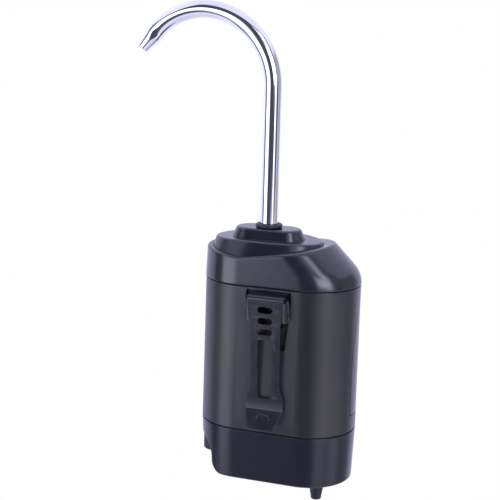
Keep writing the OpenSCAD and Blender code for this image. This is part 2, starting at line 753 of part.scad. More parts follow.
module pump_screws() color([0.7, 0.71, 0.73]) home()
    for (i = [-1, 1], j = [-1, 1]) translate([pump_x + i * screw_x, j * screw_y, 0]) {
        translate([0, 0, 1.1 - eps]) cylinder(h = cover_z + 6, r = 1.1);
        difference() {
            translate([0, 0, 0.1]) cylinder(h = 1, r = 2.2);
            translate([0, 0, -1]) cylinder(h = 1.7, r = 0.9, $fn = 6);
        }
    }

// collar of the nipple, where it passes the base's floor
collar_r = nipple_d / 2 + 0.5;
module inlet_nipple() color([0.13, 0.13, 0.15]) home() translate([nipple_x, 0, 0]) difference() {
    union() {
        translate([0, 0, floor_z]) cylinder(h = 1.2, r = 4.3);
        cylinder(h = floor_z + eps, r = collar_r);
        translate([0, 0, -nipple_l]) cylinder(h = nipple_l + eps, r = nipple_d / 2);
        translate([0, 0, -nipple_l - nipple_tip])
            cylinder(h = nipple_tip + eps, r1 = nipple_d / 2 - 0.95, r2 = nipple_d / 2);
    }
    translate([0, 0, -nipple_l - nipple_tip - 1]) cylinder(h = 40, r = 1.8);
}

// the charging socket's outside, grown for what has to clear it
module socket_box(grow) translate([notch_x - 0.9 - grow, -4.5 - grow, port_z - 1.6 - grow])
    cube([8.4 + 2 * grow, 9 + 2 * grow, 3.2 + 2 * grow]);

module usb_socket() color([0.75, 0.76, 0.78]) home() difference() {
    socket_box(0);
    translate([notch_x - 2, -4.1, port_z - 1.2]) cube([8.6, 8.2, 2.4]);
}

module charging_plug() color([0.05, 0.05, 0.06]) home() {
    intersection() {
        translate([-end_x, 0, port_z - 4]) cylinder(h = 8, r = mid_r - 0.6);
        translate([-body_w, 0, port_z]) rotate([90, 0, 90])
            linear_extrude(body_w + notch_x - gap) rounded(22, 7.6, 3);
        difference() {
            translate([-body_w, -12, 0]) cube([body_w, 24, base_h]);
            plug_room();
            socket_box(gap);
        }
    }
    translate([notch_x - 5, -3.7, port_z - 0.8]) cube([9, 7.4, 1.6]);
}
// everything outside the notch's arc, so that the plug stays clear of the base
module plug_room() rotate([90, 0, 0]) linear_extrude(body_d, center = true) difference() {
    translate([-body_w / 2, notch_z]) square([notch_r + 5, notch_r + 5]);
    translate([-body_w / 2, notch_z]) circle(notch_r - gap);
}

mid_shell();
top_cap();
spout_deck();
spout_boss();
spout_grommet();
spout_tube();
spout_retainer();
spout_oring();
spout_socket();
socket_plug();
delivery_tube();
base_cup();
cap_seal();
base_seal();
front_panel();
power_button();
button_bezel();
indicator_lens();
switch_plunger();
tact_switch();
control_board();
board_chips();
board_screws();
battery_cell();
battery_cradle();
clip_leaf();
clip_pin();
clip_bracket();
bracket_screws();
clip_spring();
motor_can();
motor_shaft();
drive_gear();
idler_gear();
idler_axle();
pump_body();
pump_cover();
pump_screws();
inlet_nipple();
usb_socket();
charging_plug();
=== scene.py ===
# %% [markdown]
# # Dressing a clip-on water pump
# The pump is a hanging object: a racetrack housing in three sections, a chrome
# gooseneck on top, a painted spring clip on the flat side and a hose nipple
# below. Its solids come packed from CAD, with bodies that move. This lesson
# builds what the eye sees around them: rounded edges, seams, finishes and a
# small studio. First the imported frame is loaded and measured.

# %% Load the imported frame
import math

import bmesh
import bpy
from mathutils import Matrix, Vector


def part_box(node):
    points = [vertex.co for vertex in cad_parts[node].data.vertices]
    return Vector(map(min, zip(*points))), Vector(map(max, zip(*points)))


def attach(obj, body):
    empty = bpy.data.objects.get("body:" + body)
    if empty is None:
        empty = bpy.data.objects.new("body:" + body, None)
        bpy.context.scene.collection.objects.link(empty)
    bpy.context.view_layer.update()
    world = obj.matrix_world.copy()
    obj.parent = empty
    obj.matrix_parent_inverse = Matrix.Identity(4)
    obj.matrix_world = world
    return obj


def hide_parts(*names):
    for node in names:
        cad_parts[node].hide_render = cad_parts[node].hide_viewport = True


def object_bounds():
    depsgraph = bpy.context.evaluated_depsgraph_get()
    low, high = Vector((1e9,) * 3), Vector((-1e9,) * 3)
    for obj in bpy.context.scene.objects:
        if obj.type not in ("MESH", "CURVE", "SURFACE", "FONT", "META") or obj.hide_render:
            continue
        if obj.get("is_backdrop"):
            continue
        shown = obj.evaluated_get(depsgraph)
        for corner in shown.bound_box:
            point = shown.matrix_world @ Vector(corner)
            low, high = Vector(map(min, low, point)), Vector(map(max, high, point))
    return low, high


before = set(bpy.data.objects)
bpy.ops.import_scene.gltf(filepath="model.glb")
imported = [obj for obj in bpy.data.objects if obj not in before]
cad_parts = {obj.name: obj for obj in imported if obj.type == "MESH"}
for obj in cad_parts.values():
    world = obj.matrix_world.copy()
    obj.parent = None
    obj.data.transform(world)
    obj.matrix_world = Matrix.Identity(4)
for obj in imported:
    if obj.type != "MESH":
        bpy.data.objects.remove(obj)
cad_box = [list(corner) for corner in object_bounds()]

# %% [markdown]
# Drawing in millimetres, with the housing's middle plane at y = 0 and its
# underside at z = 0, is easier to read than drawing in the row's own frame. One
# function carries such a point over. Its two offsets are measured on the packed
# nodes, so that the pieces land on the solids without any fitting.

# %% A drawing frame in millimetres
MM = 0.001
shell_low, shell_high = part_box("mid_shell")
base_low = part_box("base_cup")[0]
MIDDLE_Y = (shell_low.y + shell_high.y) / 2
UNDERSIDE = base_low.z


def place(x, y, z):
    """A drawing point in millimetres, as a point of the row frame in metres."""
    return Vector((x * MM, y * MM + MIDDLE_Y, z * MM + UNDERSIDE))


SIDE_R = (shell_high.y - shell_low.y) / 2 / MM
END_X = (shell_high.x - shell_low.x) / 2 / MM - SIDE_R
SHELL_LOW = (shell_low.z - UNDERSIDE) / MM
SHELL_HIGH = (shell_high.z - UNDERSIDE) / MM
HALF_SEAM = 0.25
SEAM_LOW = SHELL_LOW - HALF_SEAM
SEAM_HIGH = SHELL_HIGH + HALF_SEAM
print(f"half depth {SIDE_R:.1f}, end centres at {END_X:.1f}")
print(f"seams at {SEAM_LOW:.1f} and {SEAM_HIGH:.1f}")

# %% [markdown]
# The camera comes first, because every later look is taken through it. It is a
# long lens, 0.55 m away, a little to the right and a little above, and tilted
# by a degree or two. The three directions below were fitted to the edges of the
# solids, so the lens needs no shift.

# %% Camera
CAMERA_AT = Vector((0.1706179, -0.5115316, 0.1878530))
CAMERA_RIGHT = Vector((0.941759, 0.335368, 0.024883))
CAMERA_UP = Vector((-0.093147, 0.189039, 0.977542))
CAMERA_BACK = Vector((0.323132, -0.922926, 0.209268))
LENS_MM, SENSOR_MM = 90.32, 36.0
lens = bpy.data.cameras.new("portrait lens")
lens.lens = LENS_MM
lens.sensor_width = SENSOR_MM
camera = bpy.data.objects.new("portrait camera", lens)
turned = Matrix((CAMERA_RIGHT, CAMERA_UP, CAMERA_BACK)).transposed().to_4x4()
camera.matrix_world = Matrix.Translation(CAMERA_AT) @ turned
bpy.context.scene.collection.objects.link(camera)
bpy.context.scene.camera = camera
print("camera at", [round(v, 3) for v in CAMERA_AT])

# %% [markdown]
# Most pieces here are sweeps: a closed section carried round a racetrack, round
# an axis or along a bent tube. They share one builder, which joins equal rings
# of points with quads. It could be done with curve objects and bevel profiles,
# but plain rings keep every radius exact and give clean quads for the bevels.

# %% Rings into meshes
def from_faces(name, points, faces):
    """A piece from drawing points and faces, with its normals facing out."""
    mesh = bpy.data.meshes.new(name)
    mesh.from_pydata([place(*point) for point in points], [], faces)
    work = bmesh.new()
    work.from_mesh(mesh)
    bmesh.ops.recalc_face_normals(work, faces=work.faces)
    work.to_mesh(mesh)
    work.free()
    mesh.shade_smooth()
    piece = bpy.data.objects.new(name, mesh)
    bpy.context.scene.collection.objects.link(piece)
    return piece


def from_rings(name, rings, ends="caps"):
    """Joins equal rings with quads; the ends are capped, or joined in a loop."""
    count = len(rings[0])
    points = [point for ring in rings for point in ring]
    faces = []
    for i in range(len(rings) if ends == "loop" else len(rings) - 1):
        a, b = i * count, (i + 1) % len(rings) * count
        for j in range(count):
            k = (j + 1) % count
            faces.append((a + j, a + k, b + k, b + j))
    if ends == "caps":
        faces.append(tuple(reversed(range(count))))
        faces.append(tuple(range(len(points) - count, len(points))))
    return from_faces(name, points, faces)


print("mesh builders ready")

# %% [markdown]
# The outlines are drawn from a few simple moves: a point part of the way along
# a line, a rounded corner, a racetrack, a turn about an axis, and the plain
# blocks and prisms that later cut or thicken a moulding.

# %% Outlines
def clamp(value):
    """A number held between 0 and 1."""
    return min(max(value, 0.0), 1.0)


def lerp(a, b, t):
    """The point a share t of the way from a to b."""
    return tuple(p + (q - p) * t for p, q in zip(a, b))


def arc(start, corner, end, steps=4):
    """A rounded corner: the points of a curve from start to end, pulled to corner."""
    return [lerp(lerp(start, corner, i / steps), lerp(corner, end, i / steps), i / steps)
            for i in range(steps + 1)]


def rounding(radius, near):
    """How far a round corner falls back from its flank, at some distance from its end."""
    return radius - math.sqrt(radius ** 2 - (radius - near) ** 2) if near < radius else 0.0


def full_turn(steps):
    """The angles of one full turn."""
    return [2 * math.pi * i / steps for i in range(steps)]


def track(half, radius, z, middle=0.0, steps=36):
    """A racetrack ring at height z, with round ends about middle +- half."""
    ring = []
    for centre, start in ((middle + half, -90), (middle - half, 90)):
        for i in range(steps + 1):
            a = math.radians(start + 180 * i / steps)
            ring.append((centre + radius * math.cos(a), radius * math.sin(a), z))
    return ring


AXES = {"x": lambda u, v, h: (h, u, v),
        "y": lambda u, v, h: (u, h, v),
        "z": lambda u, v, h: (u, v, h)}


def turned_rings(profile, axis, centre, steps=48):
    """Rings of a lathe profile of (radius, height) about an axis through centre."""
    rings = []
    for radius, height in profile:
        ring = []
        for a in full_turn(steps):
            at = AXES[axis](radius * math.cos(a), radius * math.sin(a), height)
            ring.append(tuple(c + p for c, p in zip(centre, at)))
        rings.append(ring)
    return rings


def block(name, low, high):
    """A plain box between two corners, used to cut or to thicken."""
    (x0, y0, z0), (x1, y1, z1) = low, high
    return from_rings(name, [[(x0, y0, z), (x1, y0, z), (x1, y1, z), (x0, y1, z)] for z in (z0, z1)])


def prism(name, line, low, high):
    """A prism along y between two depths, through points of (x, z)."""
    return from_rings(name, [[(x, y, z) for x, z in line] for y in (low, high)])


print("outlines ready:", ", ".join(AXES), "axes")

# %% [markdown]
# Pockets, slots and coves are cut with Boolean modifiers that are applied at
# once, so no cutter is left in the scene. Real mouldings and stampings have no
# knife edges: a Bevel modifier rounds what is still sharp, and a Weighted
# Normal modifier keeps the large faces flat in the reflections.

# %% Cutting and rounding
def settle(piece):
    """Applies a piece's modifiers to its mesh."""
    bpy.context.view_layer.update()
    seen = piece.evaluated_get(bpy.context.evaluated_depsgraph_get())
    mesh = bpy.data.meshes.new_from_object(seen)
    piece.modifiers.clear()
    piece.data = mesh
    return piece


def carve(piece, cutter, operation="DIFFERENCE"):
    """Cuts a piece with another, or joins them, and removes the other."""
    cut = piece.modifiers.new("cut", "BOOLEAN")
    cut.operation = operation
    cut.object = cutter
    cut.solver = "EXACT"
    settle(piece)
    bpy.data.objects.remove(cutter)
    return piece


def drill(piece, axis, centre, radius, low, high):
    """Cuts a round hole along an axis."""
    bit = turned_rings([(radius, low), (radius, high)], axis, centre)
    return carve(piece, from_rings("drill", bit))


def soften(piece, width, steps=3, corner=40):
    """Rounds the edges that turn by more than corner degrees, width in millimetres."""
    piece.data.shade_smooth()
    edge = piece.modifiers.new("rounded edges", "BEVEL")
    edge.width = width * MM
    edge.segments = steps
    edge.limit_method = "ANGLE"
    edge.angle_limit = math.radians(corner)
    even = piece.modifiers.new("even normals", "WEIGHTED_NORMAL")
    even.keep_sharp = True
    return piece


def dress(piece, body, slot, finish, *nodes):
    """Gives a piece its finish and its body, and hides the solids that it stands for."""
    piece.data.materials.clear()
    piece.data.materials.append(finish)
    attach(piece, body)
    if nodes:
        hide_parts(*nodes)
    print(f"{piece.name}: {len(piece.data.polygons)} faces, rides on {body}")
    return piece


print("cutting and rounding ready")

# %% [markdown]
# Shader maths reads best as sums. This small class wraps one socket, and adding
# or multiplying wrapped sockets adds Math nodes. Any other node comes from its
# one method, which sets the node's settings first and its sockets after.

# %% Shader sums
class Wire:
    """One socket of a shader tree; sums on it become Math nodes."""

    def __init__(self, tree, socket=None):
        self.tree = tree
        self.socket = socket

    def node(self, kind, settings, feeds, output=0):
        """Adds a node and returns one of its outputs."""
        made = self.tree.nodes.new("ShaderNode" + kind)
        for key, value in settings.items():
            setattr(made, key, value)
        for key, value in feeds.items():
            if isinstance(value, Wire):
                self.tree.links.new(value.socket, made.inputs[key])
            else:
                made.inputs[key].default_value = value
        return Wire(self.tree, made.outputs[output] if made.outputs else None)

    def sum(self, operation, left, right=0.0):
        """One Math node."""
        return self.node("Math", {"operation": operation}, {0: left, 1: right})

    def __add__(self, other):
        return self.sum("ADD", self, other)

    def __sub__(self, other):
        return self.sum("SUBTRACT", self, other)

    def __rsub__(self, other):
        return self.sum("SUBTRACT", other, self)

    def __mul__(self, other):
        return self.sum("MULTIPLY", self, other)

    __radd__ = __add__
    __rmul__ = __mul__


def ramp_between(value, low, high):
    """A smooth step of a wire from 0 at low to 1 at high."""
    return value.node("MapRange", {"interpolation_type": "SMOOTHSTEP"}, {0: value, 1: low, 2: high})


def mixed(share, first, second):
    """A colour between two colours."""
    return share.node("Mix", {"data_type": "RGBA"}, {0: share, 6: first, 7: second}, 2)


def rgb(red, green, blue):
    """A colour with full opacity."""
    return (red, green, blue, 1.0)


WHITE, BLACK = rgb(1, 1, 1), rgb(0, 0, 0)
print("shader sums ready")

# %% [markdown]
# The light is a tent with two soft boxes. The photograph's chrome and gloss tell
# where they stand: a wide box to the left of the lens, a tighter and brighter
# one to the right, a dark gap straight ahead and a dark strip beyond each box.
# Lamps could do this, but then the dark strips would need cards that get in the
# way of other views. A world that depends on direction alone does both. It is
# painted in layers, each between two bearings and two heights in degrees: first
# the tent and its dimmer parts, then bright cards below the horizon for the
# housing, and narrow dark ones at the horizon that only the riser mirrors.

# %% Studio world
TENT = rgb(0.92, 0.92, 1.28)
LEFT_TENT = rgb(1.05, 1.05, 1.4)
RIGHT_TENT = rgb(0.40, 0.40, 0.5)
CEILING = rgb(0.85, 0.87, 1.2)
GROUND = rgb(0.72, 0.72, 0.92)
LOW_FRONT = rgb(0.33, 0.33, 0.42)
DARK_ROOM = rgb(0.07, 0.074, 0.105)
LEFT_CARD = rgb(0.18, 0.18, 0.24)
RIGHT_CARD = rgb(0.40, 0.40, 0.46)
LOW_CARD = rgb(1.2, 1.17, 1.35)
CARD_FADE = 4
CARDS = (
    # from bearing, to bearing, from height, to height, softness of the sides, colour
    (-135, -90, -8, 50, 6, LEFT_TENT),
    (-85, 140, -42, -28, 8, LOW_FRONT),
    (88, 142, -40, 26, 6, RIGHT_TENT),
    (-88, -61, -40, 25, 3, LEFT_CARD),
    (64, 92, -40, 48, 3, RIGHT_CARD),
    (35, 62, -40, -2, 5, LOW_CARD),
    (69, 98, -40, -4, 4, LOW_CARD),
    (20, 50, -12, -2, 2.5, DARK_ROOM),
    (71, 94, -12, -1, 2, DARK_ROOM),
    (-95, -38, 18, 26, 6, LEFT_CARD),
    (-38, 72, 18, 53, 7, DARK_ROOM),
    (-40, 30, -33, 53, 4, DARK_ROOM),
)

world = bpy.data.worlds.new("tent")
bpy.context.scene.world = world
world.use_nodes = True
world.node_tree.nodes.clear()
sky = Wire(world.node_tree)
towards = sky.node("TexCoord", {}, {})
split = sky.node("SeparateXYZ", {}, {0: towards})
across, ahead, rise = (Wire(world.node_tree, split.socket.node.outputs[i]) for i in range(3))
DEGREES = 180 / math.pi
bearing = sky.sum("ARCTAN2", across, 0.0 - ahead) * DEGREES
height = sky.sum("ARCSINE", rise) * DEGREES


def between(value, low, high, soft):
    """1 where a wire lies between low and high, with soft edges."""
    return (ramp_between(value, low - soft, low + soft)
            * (1 - ramp_between(value, high - soft, high + soft)))


colour = mixed(ramp_between(height, 50, 62), TENT, CEILING)
colour = mixed(1 - ramp_between(height, -62, -48), colour, GROUND)
for left, right, low, high, soft, card in CARDS:
    here = between(bearing, left, right, soft) * between(height, low, high, CARD_FADE)
    colour = mixed(here, colour, card)
print("tent painted with", len(CARDS), "cards")

# %% [markdown]
# The boxes come last, over the cards. The left one has a slanting side. The
# right one fades out below the horizon, its upper corner beside the dark gap is
# dimmed, and so is a low corner that the riser would mirror. What the lens sees
# directly is plain white.

# %% Soft boxes
LEFT_BOX = rgb(2.5, 2.58, 3.0)
RIGHT_BOX = rgb(4.3, 4.4, 5.2)
SLANT, SLANT_FROM, CORNER_DIM = 0.5, 7, 0.85
slanting = bearing - (height + SLANT_FROM) * SLANT
left_box = (ramp_between(bearing, -62, -56) * (1 - ramp_between(slanting, -28, -13))
            * between(height, -25, 15, 4))
colour = mixed(left_box, colour, LEFT_BOX)
right_box = (between(bearing, 30, 62, 5) * ramp_between(height, -14, 6)
             * (1 - ramp_between(height, 42, 50)))
high_corner = between(bearing, 10, 47, 5) * between(height, 22, 46, 6)
low_corner = between(bearing, 20, 50, 2.5) * between(height, -12, -2, 4)
right_box = right_box * (1 - high_corner * CORNER_DIM) * (1 - low_corner)
colour = mixed(right_box, colour, RIGHT_BOX)
seen = sky.node("LightPath", {}, {}, "Is Camera Ray")
tent = sky.node("Background", {}, {0: mixed(seen, colour, WHITE), 1: 1.0})
sky.node("OutputWorld", {}, {"Surface": tent})
print("studio world made:", len(world.node_tree.nodes), "nodes")

# %% [markdown]
# Real mouldings are never one flat colour. Each finish below mixes two close
# shades with a slow cloud, changes its gloss where cloths and fingers have been,
# carries a fine grain as bump and pales a little where the mesh turns an edge.
# The patterns use object coordinates, so they ride along with moving bodies.

# %% Patterns for finishes
def new_finish(name):
    """An empty material, a wire to start its tree from, and its object coordinates."""
    finish = bpy.data.materials.new(name)
    finish.use_nodes = True
    finish.node_tree.nodes.clear()
    start = Wire(finish.node_tree)
    return finish, start, start.node("TexCoord", {}, {}, "Object")


def noise(start, at, pitch, detail):
    """A noise pattern whose features lie about pitch millimetres apart."""
    return start.node("TexNoise", {}, {"Vector": at, "Scale": 1 / (pitch * MM), "Detail": detail})


def drawn_out(start, at, scale):
    """Coordinates stretched by a scale for each axis."""
    return start.node("Mapping", {}, {"Vector": at, "Scale": scale})


def edges(start, low=0.53, high=0.62):
    """1 on the mesh's outer edges, 0 elsewhere."""
    return ramp_between(start.node("NewGeometry", {}, {}, "Pointiness"), low, high)


def bumped(pattern, depth, strength=0.5):
    """A normal from a height pattern, depth in millimetres."""
    return pattern.node("Bump", {}, {"Strength": strength, "Distance": depth * MM, "Height": pattern})


def shaded(start, feeds):
    """Closes a finish with one Principled shader."""
    start.node("OutputMaterial", {}, {"Surface": start.node("BsdfPrincipled", {}, feeds)})


print("patterns ready")

# %% [markdown]
# One recipe serves all plastics and rubbers: two shades, a roughness, the pitch
# and depth of the grain, and how strongly the surface reflects. The glossy cap
# and tiers have a shallow, slow waviness; the satin shell and base a fine spark
# texture; the rubbers are rough and reflect little.

# %% Plastic and rubber finishes
CLOUD_PITCH, WIPE_PITCH, WIPE_RUN = 18.0, 5.0, (1.0, 1.0, 0.25)
WORN_EDGE, WORN = rgb(0.12, 0.12, 0.13), 0.15


def moulding(name, deep, pale, rough, pitch, depth, level=0.5):
    """A moulded plastic or rubber between two shades, with a grain of some pitch and depth."""
    finish, start, at = new_finish(name)
    fine = noise(start, at, pitch, 4.0)
    cloud = noise(start, at, CLOUD_PITCH, 5.0)
    wiped = noise(start, drawn_out(start, at, WIPE_RUN), WIPE_PITCH, 4.0)
    edge = edges(start)
    shade = mixed(ramp_between(cloud * 0.6 + fine * 0.4, 0.35, 0.65), rgb(*deep), rgb(*pale))
    shade = mixed(edge * WORN, shade, WORN_EDGE)
    gloss = ((wiped - 0.5) * 0.22 + (fine - 0.5) * 0.15 - edge * 0.15 + 1) * rough
    shaded(start, {"Base Color": shade, "Roughness": gloss, "Normal": bumped(fine, depth),
                   "Specular IOR Level": level})
    return finish


CAP_FINISH = moulding("gloss slate moulding", (0.009, 0.0105, 0.019), (0.013, 0.015, 0.027),
                      rough=0.21, pitch=1.1, depth=0.0015, level=0.8)
DECK_FINISH = moulding("gloss slate tier", (0.007, 0.0085, 0.017), (0.011, 0.013, 0.024),
                       rough=0.23, pitch=1.1, depth=0.0015, level=0.8)
SHELL_FINISH = moulding("satin grey moulding", (0.008, 0.008, 0.011), (0.012, 0.012, 0.0155),
                        rough=0.36, pitch=0.35, depth=0.004, level=0.7)
BASE_FINISH = moulding("satin slate moulding", (0.0105, 0.011, 0.021), (0.014, 0.0145, 0.027),
                       rough=0.25, pitch=0.35, depth=0.003, level=0.45)
PANEL_FINISH = moulding("gloss dark panel", (0.009, 0.009, 0.012), (0.013, 0.013, 0.017),
                        rough=0.22, pitch=0.9, depth=0.0015, level=0.7)
BUTTON_FINISH = moulding("satin button", (0.012, 0.013, 0.017), (0.018, 0.019, 0.024),
                         rough=0.38, pitch=0.3, depth=0.006, level=0.6)
RUBBER_FINISH = moulding("black rubber", (0.007, 0.0075, 0.013), (0.012, 0.0125, 0.02),
                         rough=0.52, pitch=0.4, depth=0.01, level=0.16)
# painted reflection: a paler copy of the black rubber, for the grommet, standing in for the light it
# mirrors from the boss
REFLECTION_PAINTED_RUBBER = moulding("rubber painted paler as reflection", (0.016, 0.0165, 0.026), (0.024, 0.025, 0.038),
                        rough=0.48, pitch=0.4, depth=0.01, level=0.45)
DARK_NYLON = moulding("black nylon", (0.005, 0.0055, 0.010), (0.010, 0.0105, 0.017),
                      rough=0.4, pitch=0.3, depth=0.01, level=0.4)
PLAIN_NYLON = moulding("grey nylon", (0.06, 0.063, 0.07), (0.085, 0.088, 0.096),
                       rough=0.45, pitch=0.3, depth=0.012)
IVORY_ACETAL = moulding("ivory acetal", (0.62, 0.60, 0.52), (0.72, 0.70, 0.62),
                        rough=0.4, pitch=0.25, depth=0.006)
CLEAR_SILICONE = moulding("milky silicone", (0.52, 0.52, 0.49), (0.64, 0.64, 0.61),
                          rough=0.35, pitch=0.5, depth=0.008)
CHIP_EPOXY = moulding("chip epoxy", (0.008, 0.008, 0.009), (0.016, 0.016, 0.017),
                      rough=0.55, pitch=0.15, depth=0.01)
CELL_SLEEVE = moulding("blue cell sleeve", (0.022, 0.075, 0.19), (0.035, 0.105, 0.26),
                       rough=0.28, pitch=2.0, depth=0.01)
LENS_FINISH = moulding("green lens", (0.20, 0.50, 0.27), (0.28, 0.62, 0.36),
                       rough=0.12, pitch=0.8, depth=0.002)
print("mouldings:", len(bpy.data.materials))

# %% [markdown]
# Metals show less colour and more direction. Drawn tube and wire keep faint
# scratches along their length, so the noise is stretched before it is used. The
# clip is painted spring steel: a thin skin with a slight orange peel, paler and
# partly metallic on its outer edges, which is wear and also a painted highlight
# along those edges. The board's green mask shows its tracks as relief.

# %% Metal, paint and board finishes
ALONG_X, UPRIGHT = (0.08, 1.0, 1.0), (1.0, 1.0, 0.05)


def metal(name, deep, pale, rough, run, depth):
    """A bare metal with scratches that run along the least scaled axis."""
    finish, start, at = new_finish(name)
    scratch = noise(start, drawn_out(start, at, run), 0.35, 5.0)
    cloud = noise(start, at, 9.0, 4.0)
    shade = mixed(ramp_between(cloud, 0.3, 0.7), rgb(*deep), rgb(*pale))
    gloss = ((scratch - 0.5) * 0.5 + (cloud - 0.5) * 0.4 + edges(start) * 0.2 + 1) * rough
    shaded(start, {"Base Color": shade, "Metallic": 1.0, "Roughness": gloss,
                   "Normal": bumped(scratch, depth, 0.3)})
    return finish


CHROME_FINISH = metal("plated tube", (0.84, 0.85, 0.88), (0.90, 0.91, 0.93),
                      rough=0.05, run=(1.0, 1.0, 0.06), depth=0.0004)
STEEL_FINISH = metal("bright steel", (0.46, 0.47, 0.49), (0.56, 0.57, 0.59),
                     rough=0.28, run=ALONG_X, depth=0.003)
# painted shade: this steel is made near-black because the bracket, pin, coil and screws sit in shade behind
# the clip
SHADE_PAINTED_STEEL = metal("steel darkened as painted shade", (0.028, 0.028, 0.032), (0.045, 0.045, 0.05),
                   rough=0.36, run=ALONG_X, depth=0.003)
CAN_FINISH = metal("drawn can", (0.40, 0.41, 0.43), (0.50, 0.51, 0.53),
                   rough=0.34, run=UPRIGHT, depth=0.003)


def painted_steel(name):
    """A dark paint skin, paler and partly metallic on its edges: wear and a painted highlight."""
    finish, start, at = new_finish(name)
    peel = noise(start, at, 0.6, 3.0)
    cloud = noise(start, at, 7.0, 4.0)
    patchy = ramp_between(noise(start, at, 3.0, 3.0), 0.4, 0.65) * 0.6 + 0.4
    # painted highlight: the outer edges turn paler and partly metallic, as wear and as light caught on the
    # edges
    worn_and_highlit_edges = edges(start, 0.56, 0.68) * patchy
    shade = mixed(ramp_between(cloud, 0.3, 0.7), rgb(0.010, 0.0105, 0.016), rgb(0.015, 0.016, 0.024))
    shade = mixed(worn_and_highlit_edges * 0.35, shade, rgb(0.16, 0.16, 0.18))
    gloss = (cloud - 0.5) * 0.10 + (peel - 0.5) * 0.06 + 0.25
    shaded(start, {"Base Color": shade, "Metallic": worn_and_highlit_edges * 0.4, "Roughness": gloss,
                   "Normal": bumped(peel, 0.003), "Specular IOR Level": 0.8})
    return finish


def board_mask(name):
    """A green solder mask over raised tracks, 400 of them to the metre."""
    finish, start, at = new_finish(name)
    grid = drawn_out(start, at, (400.0, 400.0, 400.0))
    bricks = {"Vector": grid, "Scale": 1.0, "Mortar Size": 0.06,
              "Color1": BLACK, "Color2": BLACK, "Mortar": WHITE}
    tracks = start.node("TexBrick", {"offset": 0.5}, bricks, "Fac")
    cloud = noise(start, at, 4.0, 4.0)
    shade = mixed(tracks * 0.8, rgb(0.008, 0.065, 0.036), rgb(0.02, 0.12, 0.07))
    shaded(start, {"Base Color": shade, "Roughness": (cloud - 0.5) * 0.15 + 0.35,
                   "Normal": bumped(tracks, 0.03)})
    return finish


CLIP_FINISH = painted_steel("painted clip steel")
BOARD_FINISH = board_mask("green board")
print("finishes:", len(bpy.data.materials))

# %% [markdown]
# The pump hangs, so the floor lies well below it. Close by it is matt and takes
# a soft shadow. Further out it turns into plain white, so that the horizon
# melts into the background. It is hidden from reflections: below the object the
# gloss and the chrome see the white of the tent instead.

# %% Floor
FLOOR_DROP, FLOOR_R, FADE_R, NEAR_WHITE = 0.16, 6.0, 0.3, 0.65
FLOOR_Z = cad_box[0][2] - FLOOR_DROP
floor_mesh = bpy.data.meshes.new("studio floor")
floor_work = bmesh.new()
bmesh.ops.create_circle(floor_work, cap_ends=True, segments=96, radius=FLOOR_R)
floor_work.to_mesh(floor_mesh)
floor_work.free()
floor = bpy.data.objects.new("studio_floor", floor_mesh)
floor.location = (0.0, MIDDLE_Y, FLOOR_Z)
floor.visible_glossy = False
bpy.context.scene.collection.objects.link(floor)
floor_finish, start, at = new_finish("pale floor")
away = start.node("VectorMath", {"operation": "LENGTH"}, {0: at}, "Value")
far = ramp_between(away, 0.0, FADE_R) * (1 - NEAR_WHITE) + NEAR_WHITE
matt = start.node("BsdfDiffuse", {}, {"Color": rgb(0.92, 0.92, 0.93)})
white = start.node("Emission", {}, {"Color": WHITE, "Strength": 1.0})
both = start.node("MixShader", {}, {0: far, 1: matt, 2: white})
start.node("OutputMaterial", {}, {"Surface": both})
floor_mesh.materials.append(floor_finish)
floor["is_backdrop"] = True
print(f"floor at z {FLOOR_Z:.3f} m")

# %% [markdown]
# A thin panel wraps the far side and both round ends of the housing. It follows
# the wall, so it is drawn as a grid: one way along the wall, one way up. Rows
# and columns crowd toward the rim, where the sheet rounds over. Each row has its
# own reach, because the corners are round and the ends lean back toward their
# top. The left end of the whole wall leans in a little toward the upper seam.

# %% Panel shape
WALL = 2.0
PANEL_LOW, PANEL_HIGH = SEAM_LOW + 7.6, SEAM_HIGH - 3.5
PANEL_REACH = END_X + SIDE_R * math.acos(-5.8 / SIDE_R)
PANEL_CORNER, LEAN_FROM, LEAN_BACK = 2.6, 18, 0.0059
END_LEAN = 0.7


def lean(x, y, z):
    """A point of the wall, with the left end leaning in toward the upper seam."""
    climbed = (z - SEAM_LOW) / (SEAM_HIGH - SEAM_LOW)
    return x + END_LEAN * climbed * clamp(-x / END_X), y, z


def wrap(s, depth):
    """A point of the wall in plan, s along it from the middle of the far side."""
    past = max(abs(s) - END_X, 0.0) / SIDE_R
    r = SIDE_R - depth
    return math.copysign(min(abs(s), END_X) + r * math.sin(past), s), r * math.cos(past)


def edge_steps(total, count):
    """Distances along a span, crowded toward both ends."""
    ends = [0.0, 0.08, 0.25, 0.6, 1.2, 2.0]
    span = total - 2 * ends[-1]
    inside = [ends[-1] + span * i / count for i in range(1, count)]
    return ends + inside + [total - e for e in reversed(ends)]


